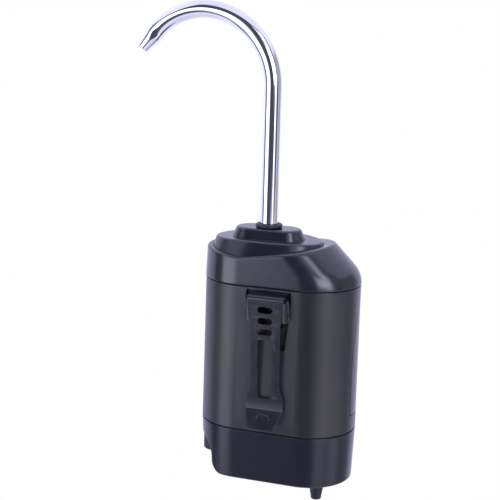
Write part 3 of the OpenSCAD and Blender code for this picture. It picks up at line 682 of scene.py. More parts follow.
def panel_block(name, grow, top, bottom, edge_r):
    """The panel between two depths below the wall, with a rounded outline and edge."""
    tall = PANEL_HIGH - PANEL_LOW + 2 * grow
    faces, points = [], []
    rows = edge_steps(tall, 16)
    columns = len(edge_steps(2 * PANEL_REACH, 64))
    for depth in (top, bottom):
        for v in rows:
            near = min(v, tall - v)
            back = LEAN_BACK * max(v - LEAN_FROM, 0.0) ** 2
            reach = PANEL_REACH + grow - rounding(PANEL_CORNER, near) - back
            for u in edge_steps(2 * reach, 64):
                edge = max(min(u, 2 * reach - u, near), 0.0)
                drop = rounding(edge_r, edge) if depth == top else 0.0
                points.append(lean(*wrap(u - reach, depth + drop), PANEL_LOW - grow + v))
    layer, last = len(rows) * columns, len(rows) - 1
    for k in (0, layer):
        for i in range(last):
            for j in range(columns - 1):
                a = k + i * columns + j
                faces.append((a, a + 1, a + columns + 1, a + columns))
    rim = (list(range(columns - 1))
           + [i * columns + columns - 1 for i in range(last)]
           + [layer - 1 - j for j in range(columns - 1)]
           + [(last - i) * columns for i in range(last)])
    for a, b in zip(rim, rim[1:] + rim[:1]):
        faces.append((a, b, b + layer, a + layer))
    return from_faces(name, points, faces)


print(f"panel from z {PANEL_LOW:.1f} to {PANEL_HIGH:.1f}, {2 * PANEL_REACH:.1f} mm long")

# %% [markdown]
# The middle shell is a satin moulding, 2 mm thick, with its rim edges rounded:
# one ring section carried round the racetrack. The clip hangs in a pocket sunk
# in the flat side, which gets a thicker back there. The pocket is wide behind
# the clip's head and narrow behind its neck, with a slot on each side for the
# ears. Posts inside carry the board. The panel's bed is cut with the panel's own
# shape, grown by a fifth of a millimetre, which leaves a fine line round it.

# %% Middle shell and its pocket
RIM_ROUND, BED_GAP = 0.4, 0.2
CLIP_X = 0.7
OUTSIDE_Y, POCKET_Y = -30, -19.7
HEAD_HALF, NECK_HALF = 10.5, 7.2
HEAD_LOW, HEAD_HIGH, NECK_LOW, NECK_HIGH = 85.6, 90.8, 70.6, 86.6
SLOT_LOW, SLOT_BEND = 63.9, 76.0
EAR_SLOTS = ((-5.0, -7.6, -7.9), (5.0, 8.2, 9.7))
POST_R, POST_FROM, POST_TO = 2.6, 15.1, 20.4
BUTTON_Z, LENS_Z = 66.0, 52.0
BUTTON_BORE, LENS_BORE = 6.8, 1.6
FAR_IN, FAR_OUT = 15, 25

section = (arc((RIM_ROUND, SHELL_LOW), (0, SHELL_LOW), (0, SHELL_LOW + RIM_ROUND))
           + arc((0, SHELL_HIGH - RIM_ROUND), (0, SHELL_HIGH), (RIM_ROUND, SHELL_HIGH))
           + [(WALL, SHELL_HIGH), (WALL, SHELL_LOW)])
rings = [[lean(*point) for point in track(END_X, SIDE_R - inset, z)] for inset, z in section]
shell = from_rings("middle_shell", rings, "loop")
carve(shell, block("pocket back", (-12.5, -19.95, 62.2), (12.5, -17.7, 91.4)), "UNION")
for half, low, high in ((HEAD_HALF, HEAD_LOW, HEAD_HIGH), (NECK_HALF, NECK_LOW, NECK_HIGH)):
    carve(shell, block("pocket", (CLIP_X - half, OUTSIDE_Y, low), (CLIP_X + half, POCKET_Y, high)))
for inner, foot, outer in EAR_SLOTS:
    line = [(inner, SLOT_LOW), (foot, SLOT_LOW), (outer, SLOT_BEND), (outer, NECK_HIGH), (inner, NECK_HIGH)]
    carve(shell, prism("ear slot", [(CLIP_X + x, z) for x, z in line], OUTSIDE_Y, POCKET_Y))
for post_x in (-17, 17):
    for post_z in (38, 82):
        post = turned_rings([(POST_R, POST_FROM), (POST_R, POST_TO)], "y", (post_x, 0, post_z), 24)
        carve(shell, from_rings("post", post), "UNION")
carve(shell, panel_block("panel bed", BED_GAP, -1.0, 1.0, 0.01))
drill(shell, "y", (0, 0, BUTTON_Z), BUTTON_BORE, FAR_IN, FAR_OUT)
drill(shell, "y", (0, 0, LENS_Z), LENS_BORE, FAR_IN, FAR_OUT)
dress(soften(shell, 0.25), "housing", "shell", SHELL_FINISH, "mid_shell")

# %% [markdown]
# The panel itself is a thin wrapped sheet, glossier than the shell, drilled for
# the button's bezel and for the small indicator. The button has a shallow dish
# for the thumb. These sit on the far side, which only other views show.

# %% Panel, button, bezel and indicator
BEZEL_BORE, PANEL_THICK = 8.1, 0.9
panel = panel_block("wrap_panel", 0.0, 0.0, PANEL_THICK, 0.25)
drill(panel, "y", (0, 0, BUTTON_Z), BEZEL_BORE, FAR_IN, FAR_OUT)
drill(panel, "y", (0, 0, LENS_Z), LENS_BORE, FAR_IN, FAR_OUT)
dress(soften(panel, 0.12), "housing", "panel", PANEL_FINISH, "front_panel")

FACE_Y, FLANGE_R, CAP_FLANK = SIDE_R + 1.4, 8.0, 6.5
FLANGE_LOW = (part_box("power_button")[0].y - MIDDLE_Y) / MM
thumb_profile = ([(FLANGE_R, FLANGE_LOW), (FLANGE_R, 19.8), (CAP_FLANK, 19.8)]
                 + arc((CAP_FLANK, FACE_Y - 0.6), (CAP_FLANK, FACE_Y), (5.9, FACE_Y))
                 + arc((4.6, FACE_Y), (4.1, FACE_Y), (3.7, FACE_Y - 0.22))
                 + [(2.4, FACE_Y - 0.29), (0.3, FACE_Y - 0.3)])
button = from_rings("thumb_button", turned_rings(thumb_profile, "y", (0, 0, BUTTON_Z), 64))
dress(soften(button, 0.15), "button", "button", BUTTON_FINISH, "power_button")

ring_profile = ([(6.8, 21.0), (8.0, 21.0)] + arc((8.0, 22.0), (8.0, 22.4), (7.6, 22.4))
                + arc((7.2, 22.4), (6.8, 22.4), (6.8, 22.0)))
ring = from_rings("button_ring", turned_rings(ring_profile, "y", (0, 0, BUTTON_Z), 64), "loop")
dress(ring, "housing", "steel", STEEL_FINISH, "button_bezel")

lens_profile = ([(2.2, 18.3), (2.2, 19.9), (1.5, 19.9)]
                + arc((1.5, 21.6), (1.45, 21.95), (0.9, 22.0)) + [(0.1, 22.05)])
light = from_rings("charge_light", turned_rings(lens_profile, "y", (0, 0, LENS_Z), 32))
dress(soften(light, 0.08), "housing", "lens", LENS_FINISH, "indicator_lens")

# %% [markdown]
# The cap is the hardest moulding. Its walls lean in, its right end turns over
# into a slope of 45 degrees, and its top edge runs in a shallow V: down from the
# round end, up again toward the slope. A grid of stations round the plan solves
# it. First come the heights and outlines that its sections are drawn from.

# %% Cap outline
CAP_R, DRAFT, TURN_R, CAP_END = 22.1, 0.045, 11.1, 36.7
TURN_H = TURN_R * math.sin(math.radians(45))
V_X, V_Z, RISE_LEFT, RISE_RIGHT, V_ROUND = -14.4, 104.2, 0.105, 0.147, 1.0
LEFT_TUCK, SLOPE_WALL = 0.7, 1.25


def slope_x(h):
    """How far the sloped end reaches, h above the seam."""
    a = math.asin(min(max(h, 0.0), TURN_H) / TURN_R)
    return CAP_END - TURN_R * (1 - math.cos(a)) - max(h - TURN_H, 0.0)


def shoulder(x):
    """The height of the cap's top face along the housing."""
    t = x - V_X
    climb = math.hypot(t, V_ROUND) * (RISE_RIGHT if t > 0 else RISE_LEFT)
    return V_Z + climb - (RISE_RIGHT - RISE_LEFT) * max(V_ROUND - abs(t), 0.0) / 2


def cap_point(station, h, inset=0.0):
    """A point of the cap's wall: stations 0 to 4 run once round, front side first."""
    leg, t = int(station), station - int(station)
    r = CAP_R - DRAFT * h - inset
    right = slope_x(h) - r - SLOPE_WALL * inset
    if leg == 0:
        x, y = -END_X + (right + END_X) * t, -r
    elif leg == 2:
        x, y = right - (right + END_X) * t, r
    elif leg == 1:
        a = math.radians(-90 + 180 * t)
        x, y = right + r * math.cos(a), r * math.sin(a)
    else:
        a = math.radians(90 + 180 * t)
        x, y = -END_X + (r - LEFT_TUCK) * math.cos(a), r * math.sin(a)
    return x, y, SEAM_HIGH + h


print(f"cap reaches {slope_x(0):.1f}, shoulder {shoulder(V_X):.1f} to {shoulder(21.8):.1f}")

# %% [markdown]
# The deck is a squarish oval whose sides lean in. Its foot is where those sides
# come out of the cap's top face, so it is found by halving a span until side
# and face meet. The cap's sections then end at that foot line.

# %% Deck outline
SPOUT_X, DECK_Z, DECK_FOOT = -7.2, 110.8, 103.7
DECK_TOP_OVAL, DECK_FOOT_OVAL, LEFT_SHORT = (25.4, 15.2, 2.1), (27.2, 18.6, 2.3), 0.8
CROWN, CROWN_REACH = 0.85, 25.6


def solve(miss, low, high):
    """Where a rising function crosses zero."""
    for _ in range(40):
        middle = (low + high) / 2
        low, high = (middle, high) if miss(middle) < 0 else (low, middle)
    return (low + high) / 2


def oval(a, b, power, t):
    """A point in plan of a squarish oval about the spout, a little shorter to the left."""
    c, s = math.cos(t), math.sin(t)
    a = a if c > 0 else a - LEFT_SHORT
    x = SPOUT_X + math.copysign(a * abs(c) ** (2 / power), c)
    return x, math.copysign(b * abs(s) ** (2 / power), s)


def crown(x):
    """The height of the deck's top face, which drops a little toward its ends."""
    return DECK_Z - CROWN * ((x - SPOUT_X) / CROWN_REACH) ** 2


def deck_wall(t, share):
    """The deck's leaning side, from its foot at share 0 to its top edge at share 1."""
    rim = oval(*DECK_TOP_OVAL, t)
    return lerp((*oval(*DECK_FOOT_OVAL, t), DECK_FOOT), (*rim, crown(rim[0])), share)


def toward(start, end, distance):
    """The point some distance from start on the way to end, in plan."""
    gap = math.hypot(end[0] - start[0], end[1] - start[1])
    return tuple(p + (q - p) * distance / gap for p, q in zip(start[:2], end[:2]))


def deck_foot(t):
    """Where the deck's side comes out of the cap's top face."""
    def miss(share):
        x, _, z = deck_wall(t, share)
        return z - shoulder(x)
    return deck_wall(t, solve(miss, 0.0, 1.0))


foot_line = sorted((math.atan2(y, x - SPOUT_X), x, y) for x, y, _ in map(deck_foot, full_turn(1440)))


def foot_at(angle):
    """The foot line's point in a direction from the spout."""
    line = [foot_line[-1], *foot_line, foot_line[0]]
    angles = [line[0][0] - 2 * math.pi, *(p[0] for p in foot_line), line[-1][0] + 2 * math.pi]
    low, high = 0, len(line) - 1
    while high - low > 1:
        middle = (low + high) // 2
        low, high = (middle, high) if angles[middle] <= angle else (low, middle)
    t = (angle - angles[low]) / max(angles[high] - angles[low], 1e-9)
    return lerp(line[low][1:], line[high][1:], t)


print(f"deck foot from x {min(p[1] for p in foot_line):.1f} to {max(p[1] for p in foot_line):.1f}")

# %% [markdown]
# With those outlines the cap is one closed section per station: it climbs the
# wall, finds the height at which the wall meets the shoulder, turns over a small
# rounding and runs in to the foot of the deck. A crevice a fifth of a millimetre
# wide is left there, because on the real thing the deck is a separate tier
# pushed up through the cap. Where the ledge is narrow, the rounding is tighter
# and the ledge drops a little behind it, so that it shows only as a thin line.

# %% Cap
CREVICE, TURN_SHARE, LEAST_TURN, MOST_TURN = 0.2, 0.42, 0.2, 1.5
LEDGE_DROP, NARROW, NARROW_FADE, LEFT_END, LEFT_FADE = 0.5, 6.0, 3.0, 15.0, 10.0
WALL_FOOT, FOOT_ROUND = 0.25, 0.6


def cap_rim(station, inset, drop):
    """The height at which a wall meets the shoulder, lowered by drop."""
    def miss(h):
        return SEAM_HIGH + h - shoulder(cap_point(station, h, inset)[0]) + drop
    return solve(miss, 0.0, 26.0)


def cap_section(station):
    """The cap's closed section at one station."""
    top = cap_rim(station, 0.0, 0.0)
    rim = cap_point(station, top)
    foot = foot_at(math.atan2(rim[1], rim[0] - SPOUT_X))
    room = math.hypot(foot[0] - rim[0], foot[1] - rim[1]) - CREVICE
    narrow = clamp((NARROW - room) / NARROW_FADE) * clamp((rim[0] + END_X + LEFT_END) / LEFT_FADE)
    turn = min(max(TURN_SHARE * room, LEAST_TURN), MOST_TURN) * (1 - 0.5 * narrow)
    climb = math.dist(rim, cap_point(station, top - 0.1)) / 0.1
    wall_top = top - turn / climb
    points = arc(cap_point(station, WALL_FOOT, 0.35), cap_point(station, WALL_FOOT),
                 cap_point(station, FOOT_ROUND), 3)
    points += [cap_point(station, FOOT_ROUND + (wall_top - FOOT_ROUND) * i / 22) for i in range(1, 22)]
    inner = toward(rim, foot, turn)
    points += arc(cap_point(station, wall_top), rim, (*inner, shoulder(inner[0])), 5)
    lip = toward(foot, rim, CREVICE)
    for i in (1, 2, 3):
        x, y = lerp(inner, lip, i / 3)
        points.append((x, y, shoulder(x) - LEDGE_DROP * narrow * min(i / 2, 1.0)))
    points.append((*lip, shoulder(lip[0]) - 1.0))
    points.append(cap_point(station, cap_rim(station, WALL, WALL), WALL))
    points.append(cap_point(station, WALL_FOOT, WALL))
    return points


stations = [leg + i / steps for leg, steps in enumerate((22, 60, 22, 60)) for i in range(steps)]
sections = [cap_section(station) for station in stations]
cap = from_rings("cap_moulding", [list(ring) for ring in zip(*sections)], "loop")
dress(soften(cap, 0.1, 2, 55), "housing", "cap", CAP_FINISH, "top_cap")

# %% [markdown]
# The deck's sides lean in and its top edge is rounded over by about a
# millimetre. The boss on it is a small racetrack with the same treatment, and a
# round bead of rubber, the grommet, closes the gap to the spout. The grommet's
# rubber is painted paler than the black rubber, as painted reflection of the boss.

# %% Deck, boss and grommet
SPOUT_HOLE, DECK_ROUND, FLANK = 4.3, 0.9, 0.9
BOSS_Z, BOSS_HALF, BOSS_SINK = 115.0, 8.0, 0.7
BEAD_BORE, BEAD_R, BEAD_TALL = 4.07, 6.15, 1.85


def deck_section(t):
    """The deck's closed section at one angle."""
    middle = (SPOUT_X, 0.0)
    edge = deck_wall(t, 1.0)
    points = [deck_wall(t, FLANK * i / 8) for i in range(8)]
    inner = toward(edge, middle, DECK_ROUND)
    points += arc(deck_wall(t, FLANK), edge, (*inner, crown(inner[0])), 5)
    way = math.atan2(inner[1], inner[0] - SPOUT_X)
    hole = (SPOUT_X + SPOUT_HOLE * math.cos(way), SPOUT_HOLE * math.sin(way))
    for i in range(1, 7):
        x, y = lerp(inner, hole, i / 6)
        points.append((x, y, crown(x)))
    points.append((*hole, DECK_Z - WALL - 0.6))
    points.append((*toward(edge, middle, 3.0), DECK_Z - WALL - 1.1))
    points.append((*toward(deck_wall(t, 0.0), middle, 2.2), DECK_FOOT))
    return points


sections = [deck_section(t) for t in full_turn(180)]
deck = from_rings("spout_tier", [list(ring) for ring in zip(*sections)], "loop")
dress(soften(deck, 0.1, 2, 55), "housing", "deck", DECK_FINISH, "spout_deck")

boss_foot = [(9.2, DECK_Z - BOSS_SINK), (9.0, DECK_Z), (8.8, DECK_Z + 0.4)]
boss_edge = arc((7.6, BOSS_Z - 1.4), (7.3, BOSS_Z), (5.9, BOSS_Z), 6)
boss_section = ([(BOSS_HALF, r, z) for r, z in boss_foot + boss_edge]
                + [(4.0, 5.2, BOSS_Z), (0.0, SPOUT_HOLE, BOSS_Z), (0.0, SPOUT_HOLE, DECK_Z - BOSS_SINK)])
boss_rings = [track(half, r, z, SPOUT_X, 40) for half, r, z in boss_section]
boss = from_rings("spout_pedestal", boss_rings, "loop")
dress(soften(boss, 0.08, 2, 55), "housing", "deck", DECK_FINISH, "spout_boss")

lip = ([(BEAD_BORE, 0.0), (5.0, 0.0)] + arc((5.1, 0.0), (BEAD_R, 0.0), (BEAD_R, 0.9), 6)
       + arc((BEAD_R, 0.95), (BEAD_R, BEAD_TALL), (4.9, BEAD_TALL), 8)
       + arc((4.8, BEAD_TALL), (4.3, 1.8), (BEAD_BORE, 1.0)))
grommet = from_rings("rubber_grommet", turned_rings(lip, "z", (SPOUT_X, 0, BOSS_Z), 64), "loop")
# the grommet takes the rubber that is painted paler as reflection
dress(grommet, "housing", "seal", REFLECTION_PAINTED_RUBBER, "spout_grommet")

# %% [markdown]
# Spout and hose are tubes swept along a path that lies in one plane. Each path
# point carries its outward direction, so the rings never twist. The spout's end
# is swaged: past a kink the tube runs on as a straight cone with a rounded
# mouth. The swaging tool leaves a small flat at the kink, in the shape of a
# diamond: a ring is flattened there by pulling its points onto one plane.

# %% Spout
FLAT_AT, FLAT_DEEP, FLAT_LONG, FLAT_BEFORE = math.radians(-102), 0.31, 3.3, 1.2
TUBE_R, BORE_R = 4.0, 3.4
TUBE_FOOT, SPRING_Z, BEND_R, BEND = 96.8, 179.0, 32.8, math.radians(140.2)
TIGHTENS_AT, TIGHTENS_BY = 2.1, 0.45
NOZZLE, MOUTH, CONE, MOUTH_FROM = math.radians(138), (-70.5, 193.4), 8.25, 0.965
KINK = (MOUTH[0] + CONE * math.sin(NOZZLE), MOUTH[1] - CONE * math.cos(NOZZLE))


def swept(name, path, sides):
    """A hollow tube; a path point has x, z, ring angle, outer and inner radius, depth of a flat."""
    outer, inner = [], []
    for x, z, angle, out_r, in_r, flat in path:
        for rings, r in ((outer, out_r), (inner, in_r)):
            ring = []
            for a in full_turn(sides):
                facing = max(math.cos(a - FLAT_AT), 0.5)
                near = min(r, (r - flat) / facing)
                reach = near * math.cos(a)
                ring.append((x + reach * math.cos(angle), near * math.sin(a), z + reach * math.sin(angle)))
            rings.append(ring)
    return from_rings(name, outer + inner[::-1], "loop")


def press(past):
    """How deep the crimp's flat is, some way past the kink."""
    return FLAT_DEEP * max(1 - abs(past + FLAT_BEFORE) / FLAT_LONG, 0.0)


path = [(SPOUT_X, TUBE_FOOT + (SPRING_Z - TUBE_FOOT) * i / 12, 0.0, TUBE_R, BORE_R, 0.0) for i in range(12)]
for i in range(121):
    a = BEND * i / 121
    r = BEND_R - TIGHTENS_BY * max((a - TIGHTENS_AT) / (BEND - TIGHTENS_AT), 0.0) ** 2
    x, z = SPOUT_X - BEND_R + r * math.cos(a), SPRING_Z + r * math.sin(a)
    path.append((x, z, a, TUBE_R, BORE_R, press(BEND_R * (a - BEND))))
for t in [0.02, 0.06, 0.12, 0.2, 0.3, 0.4, 0.5, 0.6, 0.7, 0.8, 0.9, MOUTH_FROM]:
    path.append((*lerp(KINK, MOUTH, t), NOZZLE, TUBE_R - 1.2 * t, 3.3 - t, press(CONE * t)))
for i in range(1, 6):
    a = math.radians(18 * i)
    t = MOUTH_FROM + 0.035 * math.sin(a)
    path.append((*lerp(KINK, MOUTH, t), NOZZLE, 2.54 + 0.3 * math.cos(a), 2.3, 0.0))
spout = swept("gooseneck", path, 72)
dress(spout, "spout", "chrome", CHROME_FINISH, "spout_tube")

# %% [markdown]
# The same sweep makes the silicone tube inside, which runs from the pump up to
# the spout's socket, and a lathe profile makes the O-ring that seals it. Two
# flat rubber rings lie in the seams. They stay half a millimetre behind the
# wall, so each seam reads as a dark line.

# %% Inner hose, O-ring and seam seals
HOSE_R, HOSE_BORE, HOSE_TOP = 3.4, 2.2, 93.2
ELBOW_Z, ELBOW_R, HOSE_END_X = 14.3, 5.6, 1.3
CORD_R, O_RING_R, O_RING_Z = 0.85, 4.9, 104.05
upright = [HOSE_TOP - (HOSE_TOP - ELBOW_Z) * i / 6 for i in range(6)]
path = [(SPOUT_X, z, math.pi, HOSE_R, HOSE_BORE, 0.0) for z in upright]
for i in range(17):
    a = math.pi + math.pi / 2 * i / 16
    x, z = SPOUT_X + ELBOW_R + ELBOW_R * math.cos(a), ELBOW_Z + ELBOW_R * math.sin(a)
    path.append((x, z, a, HOSE_R, HOSE_BORE, 0.0))
path.append((HOSE_END_X, ELBOW_Z - ELBOW_R, 1.5 * math.pi, HOSE_R, HOSE_BORE, 0.0))
hose = soften(swept("silicone_hose", path, 32), 0.2, 2, 60)
dress(hose, "housing", "hose", CLEAR_SILICONE, "delivery_tube")

cord = [(O_RING_R + CORD_R * math.cos(a), CORD_R * math.sin(a)) for a in full_turn(16)]
o_ring = from_rings("spout_seal", turned_rings(cord, "z", (SPOUT_X, 0, O_RING_Z), 48), "loop")
dress(o_ring, "housing", "seal", RUBBER_FINISH, "spout_oring")

band = [(19.8, -HALF_SEAM), (21.1, -HALF_SEAM), (21.25, -0.18), (21.3, 0.0),
        (21.25, 0.18), (21.1, HALF_SEAM), (19.8, HALF_SEAM)]
for name, node, z in (("upper_seal", "cap_seal", SEAM_HIGH), ("lower_seal", "base_seal", SEAM_LOW)):
    rings = [[lean(*point) for point in track(END_X, r, z + h)] for r, h in band]
    seal = from_rings(name, rings, "loop")
    dress(seal, "housing", "seal", RUBBER_FINISH, node)

# %% [markdown]
# The base is a draughted cup with a cove at its round end, where the charging
# socket hides behind a rubber plug. The cove is cut with a prism: a quarter of
# a circle above, a rounded heel below. The same outline, grown by the wall, is
# kept out of the inside, so the wall follows the cove.

# %% Base with its cove
BASE_TOP = SEAM_LOW - HALF_SEAM
LOW_R, TOP_R = SIDE_R - 0.9, SIDE_R - 0.02
HEEL_X, HEEL_R = -19.8, 6.5
COVE_X, COVE_R, COVE_Z, WELL_LEFT = -36.5, 10.2, 7.0, -80
PORT_Z, NIPPLE_X = 12.2, 19.8


def cove(grow):
    """A prism through the housing with the cove's outline, grown by some millimetres."""
    line = [(WELL_LEFT, -5), (HEEL_X, -5)]
    for i in range(13):
        a = math.radians(270 - 90 * i / 12)
        line.append((HEEL_X + (HEEL_R - grow) * math.cos(a), HEEL_R + (HEEL_R - grow) * math.sin(a)))
    for i in range(21):
        a = math.radians(90 * i / 20)
        line.append((COVE_X + (COVE_R + grow) * math.cos(a), COVE_Z + (COVE_R + grow) * math.sin(a)))
    line.append((WELL_LEFT, COVE_Z + COVE_R + grow))
    return prism("cove cutter", line, -30, 30)


section = (arc((LOW_R - 1, 0), (LOW_R, 0), (LOW_R, 1)) + [(TOP_R, BASE_TOP - 0.4)]
           + arc((TOP_R, BASE_TOP - 0.35), (SIDE_R, BASE_TOP), (SIDE_R - 0.35, BASE_TOP)))
base = from_rings("base_cup_moulding", [track(END_X, r, z) for r, z in section])
carve(base, cove(0.0))
inside = ((LOW_R - 3, 2.0), (LOW_R - 2, 3.0), (SIDE_R - WALL, BASE_TOP + 1))
hollow = from_rings("hollow", [track(END_X, r, z) for r, z in inside])
carve(hollow, cove(WALL))
carve(base, hollow)
drill(base, "z", (NIPPLE_X, 0, 0), 3.9, -2, 4)
for screw_x in (3.6, 22.0):
    for screw_y in (-10.2, 10.2):
        drill(base, "z", (screw_x, screw_y, 0), 2.5, -1, 1.1)
carve(base, block("socket opening", (-31.3, -4.7, PORT_Z - 1.8), (-23.3, 4.7, PORT_Z + 1.8)))
dress(soften(base, 0.45, 3, 42), "housing", "base", BASE_FINISH, "base_cup")

# %% [markdown]
# The charging plug is a soft elliptic bar that fills the cove: flush with the
# round end outside, rounded to follow the cove's arc inside, and hollowed to
# clear the socket. Its stem reaches in. The hose nipple below is a lathe profile
# with a tapered, rounded end.

# %% Charging plug and nipple
PLUG_HALF, PLUG_HALF_TALL, PLUG_R, PLUG_LEFT = 19.0, 4.2, 21.0, -60
ROOM_R = 9.9
bar = [(PLUG_HALF * math.cos(a), PORT_Z + PLUG_HALF_TALL * math.sin(a)) for a in full_turn(72)]
plug = from_rings("charging_bung", [[(x, y, z) for y, z in bar] for x in (PLUG_LEFT, -26.6)])
around = turned_rings([(PLUG_R, 0), (60, 0), (60, 24), (PLUG_R, 24)], "z", (-END_X, 0, 0), 96)
carve(plug, from_rings("outside", around, "loop"))
quarter = [math.radians(90 * i / 16) for i in range(17)]
room = ([(COVE_X, COVE_Z)]
        + [(COVE_X + ROOM_R * math.cos(a), COVE_Z + ROOM_R * math.sin(a)) for a in quarter]
        + [(PLUG_LEFT, COVE_Z + ROOM_R), (PLUG_LEFT, COVE_Z)])
carve(plug, prism("room", room, -30, 30), "INTERSECT")
carve(plug, block("socket room", (-27.5, -4.8, PORT_Z - 1.9), (-18, 4.8, PORT_Z + 1.9)))
carve(plug, block("stem", (-31.3, -3.7, PORT_Z - 0.8), (-22.3, 3.7, PORT_Z + 0.8)), "UNION")
dress(soften(plug, 0.3, 3, 45), "plug", "seal", RUBBER_FINISH, "charging_plug")

tip_profile = ([(1.8, -12.3), (1.9, -12.5)] + arc((2.05, -12.5), (2.35, -12.5), (2.39, -12.2))
               + [(3.18, -7.4)] + arc((3.2, -7.3), (3.3, -7.0), (3.3, -6.6))
               + [(3.3, 0.0), (3.8, 0.0), (3.8, 2.0), (4.3, 2.0), (4.3, 3.2), (1.8, 3.2)])
nipple = from_rings("hose_nipple", turned_rings(tip_profile, "z", (NIPPLE_X, 0, 0), 48), "loop")
dress(soften(nipple, 0.12, 2, 55), "housing", "pump", DARK_NYLON, "inlet_nipple")

# %% [markdown]
# The clip is one stamped strip: a flange at the top, a broad head with three
# slots, a narrower neck with a long window, a jaw that bends in to the housing
# and a lip that flares out. It is lofted along its bent path with a thin edge
# rounding. The lip tapers more on its right, and its left corner is rounder.

# %% Clip strip
STEEL, STRIP_ROUND, STRIP_CORNER = 1.0, 0.2, 0.06
LIP_TOP, LIP_END = (-23.95, 36.2), (-27.9, 27.9)
lip_long = math.dist(LIP_TOP, LIP_END)
lip_fall = (LIP_TOP[1] - LIP_END[1]) / lip_long
lip_flare = (LIP_TOP[0] - LIP_END[0]) / lip_long
FLANGE = [(-21.8, 90.2), (-23.4, 89.7)] + arc((-25.0, 89.2), (-26.55, 88.75), (-26.5, 87.2), 7)
HEAD_AND_NECK = [(-26.4, 84.5), (-26.3, 81.5), (-26.17, 77.9), (-26.1, 76.7), (-26.06, 75.5),
                 (-25.9, 72.2), (-25.0, 59.0), (-24.17, 47.1), (-24.0, 44.7)]
JAW = arc((-23.86, 42.7), (-23.5, 39.7), (-23.9, 36.6), 10)
CREASE = arc((-23.925, 36.4), LIP_TOP, lerp(LIP_TOP, LIP_END, 0.03), 3)
LIP_STEPS = (0.06, 0.2, 0.4, 0.6, 0.75, 0.84, 0.9, 0.94, 0.97, 0.99, 1.0)
clip_line = FLANGE + HEAD_AND_NECK + JAW + CREASE + [lerp(LIP_TOP, LIP_END, t) for t in LIP_STEPS]
HALF_WIDTHS = [(91.0, 8.5), (86.8, 8.5), (77.9, 7.6), (75.5, 7.0), (47.1, 6.9), (40.6, 8.75), (35.9, 8.8)]
RIGHT_LIP, LEFT_LIP = (5.7, 0.7), (6.7, 1.8)


def half_width(z, lip_half, corner):
    """The clip's half width at a height, for a lip of some half width and corner radius."""
    for (za, wa), (zb, wb) in zip(HALF_WIDTHS, HALF_WIDTHS[1:] + [(LIP_END[1], lip_half)]):
        if zb <= z <= za:
            width = wa + (wb - wa) * (za - z) / (za - zb)
            return width - rounding(corner, (z - LIP_END[1]) / lip_fall)
    return lip_half - corner


def strip_ring(i):
    """The strip's rounded section at one point of its path."""
    y, z = clip_line[i]
    before, after = clip_line[max(i - 1, 0)], clip_line[min(i + 1, len(clip_line) - 1)]
    run = math.dist(before, after)
    ny, nz = -(after[1] - before[1]) / run, (after[0] - before[0]) / run
    e, k = STRIP_ROUND, STRIP_CORNER
    edge = [(e, 0), (k, k), (0, e), (0, STEEL - e), (k, STEEL - k), (e, STEEL)]
    right, left = half_width(z, *RIGHT_LIP), half_width(z, *LEFT_LIP)
    flat = [(right - x, t) for x, t in edge] + [(x - left, t) for x, t in reversed(edge)]
    return [(CLIP_X + x, y + ny * t, z + nz * t) for x, t in flat]


clip = from_rings("spring_clip", [strip_ring(i) for i in range(len(clip_line))])
print(f"clip strip: {len(clip_line)} sections, lip {lip_long:.1f} mm long")

# %% [markdown]
# Slots and window are punched through the strip. Two ears fold back from the
# head and hold the pin. A fold has no sharp edge, so the ears' front edges are
# round. The left ear stands a little further in than the right one.

# %% Clip slots and ears
PIN_Y, PIN_Z, PIN_BORE = -23.7, 80.5, 0.82
SLOTS_Z, WINDOW_Z = (82.8, 77.75, 72.7), 55.2
EAR, EAR_LEAN, EAR_Y, EAR_X = 3.66, math.radians(17), -26.0, {-1: 8.0, 1: 8.6}
ear_edge = (arc((EAR - 2.4, -2.7), (EAR - 0.1, -2.6), (EAR, -0.6), 6) + [(EAR - 0.2, 1.5), (EAR - 0.5, 4.0)]
            + arc((EAR - 0.65, 5.6), (EAR - 0.75, 6.9), (EAR - 1.8, 6.8), 4))


def punch(width, tall, corner, z):
    """A prism through the clip with a rounded outline."""
    line = []
    for sx, sz, turn in ((1, 1, 0), (-1, 1, 90), (-1, -1, 180), (1, -1, 270)):
        for i in range(9):
            a = math.radians(turn + 90 * i / 8)
            line.append((CLIP_X + sx * (width / 2 - corner) + corner * math.cos(a),
                         z + sz * (tall / 2 - corner) + corner * math.sin(a)))
    return prism("punch", line, -30, -22)


def on_ear(side, a, t, v):
    """A point of an ear: a across it, t through it from its middle, v above the pin."""
    x = EAR_X[side] + a * math.sin(EAR_LEAN) + t * math.cos(EAR_LEAN)
    return CLIP_X + side * x, EAR_Y + a * math.cos(EAR_LEAN) - t * math.sin(EAR_LEAN), PIN_Z + v


def ear_ring(side, t):
    """An ear's outline at one depth through it; its front edge is round."""
    front = 0.05 - math.sqrt(STEEL ** 2 / 4 - t ** 2)
    return [on_ear(side, a, t, v) for a, v in [(front, -2.7), *ear_edge, (front, 6.1)]]


for z in SLOTS_Z:
    carve(clip, punch(7.0, 3.0, 1.49, z))
carve(clip, punch(6.6, 27.8, 1.6, WINDOW_Z))
for side in (-1, 1):
    ear = from_rings("ear", [ear_ring(side, t) for t in (-0.5, -0.45, -0.3, 0.0, 0.3, 0.45, 0.5)])
    bore = turned_rings([(PIN_BORE, -20), (PIN_BORE, 20)], "x", (0, PIN_Y, PIN_Z), 24)
    carve(ear, from_rings("pin hole", bore))
    carve(clip, ear, "UNION")
dress(soften(clip, 0.18, 3, 50), "clip", "clip", CLIP_FINISH, "clip_leaf")

# %% [markdown]
# A thumb rib is pressed into the lip: a low arch of half-round section. A bead
# runs along the edge of each ear. The hinge is a pin with domed ends and a
# torsion coil of round wire.

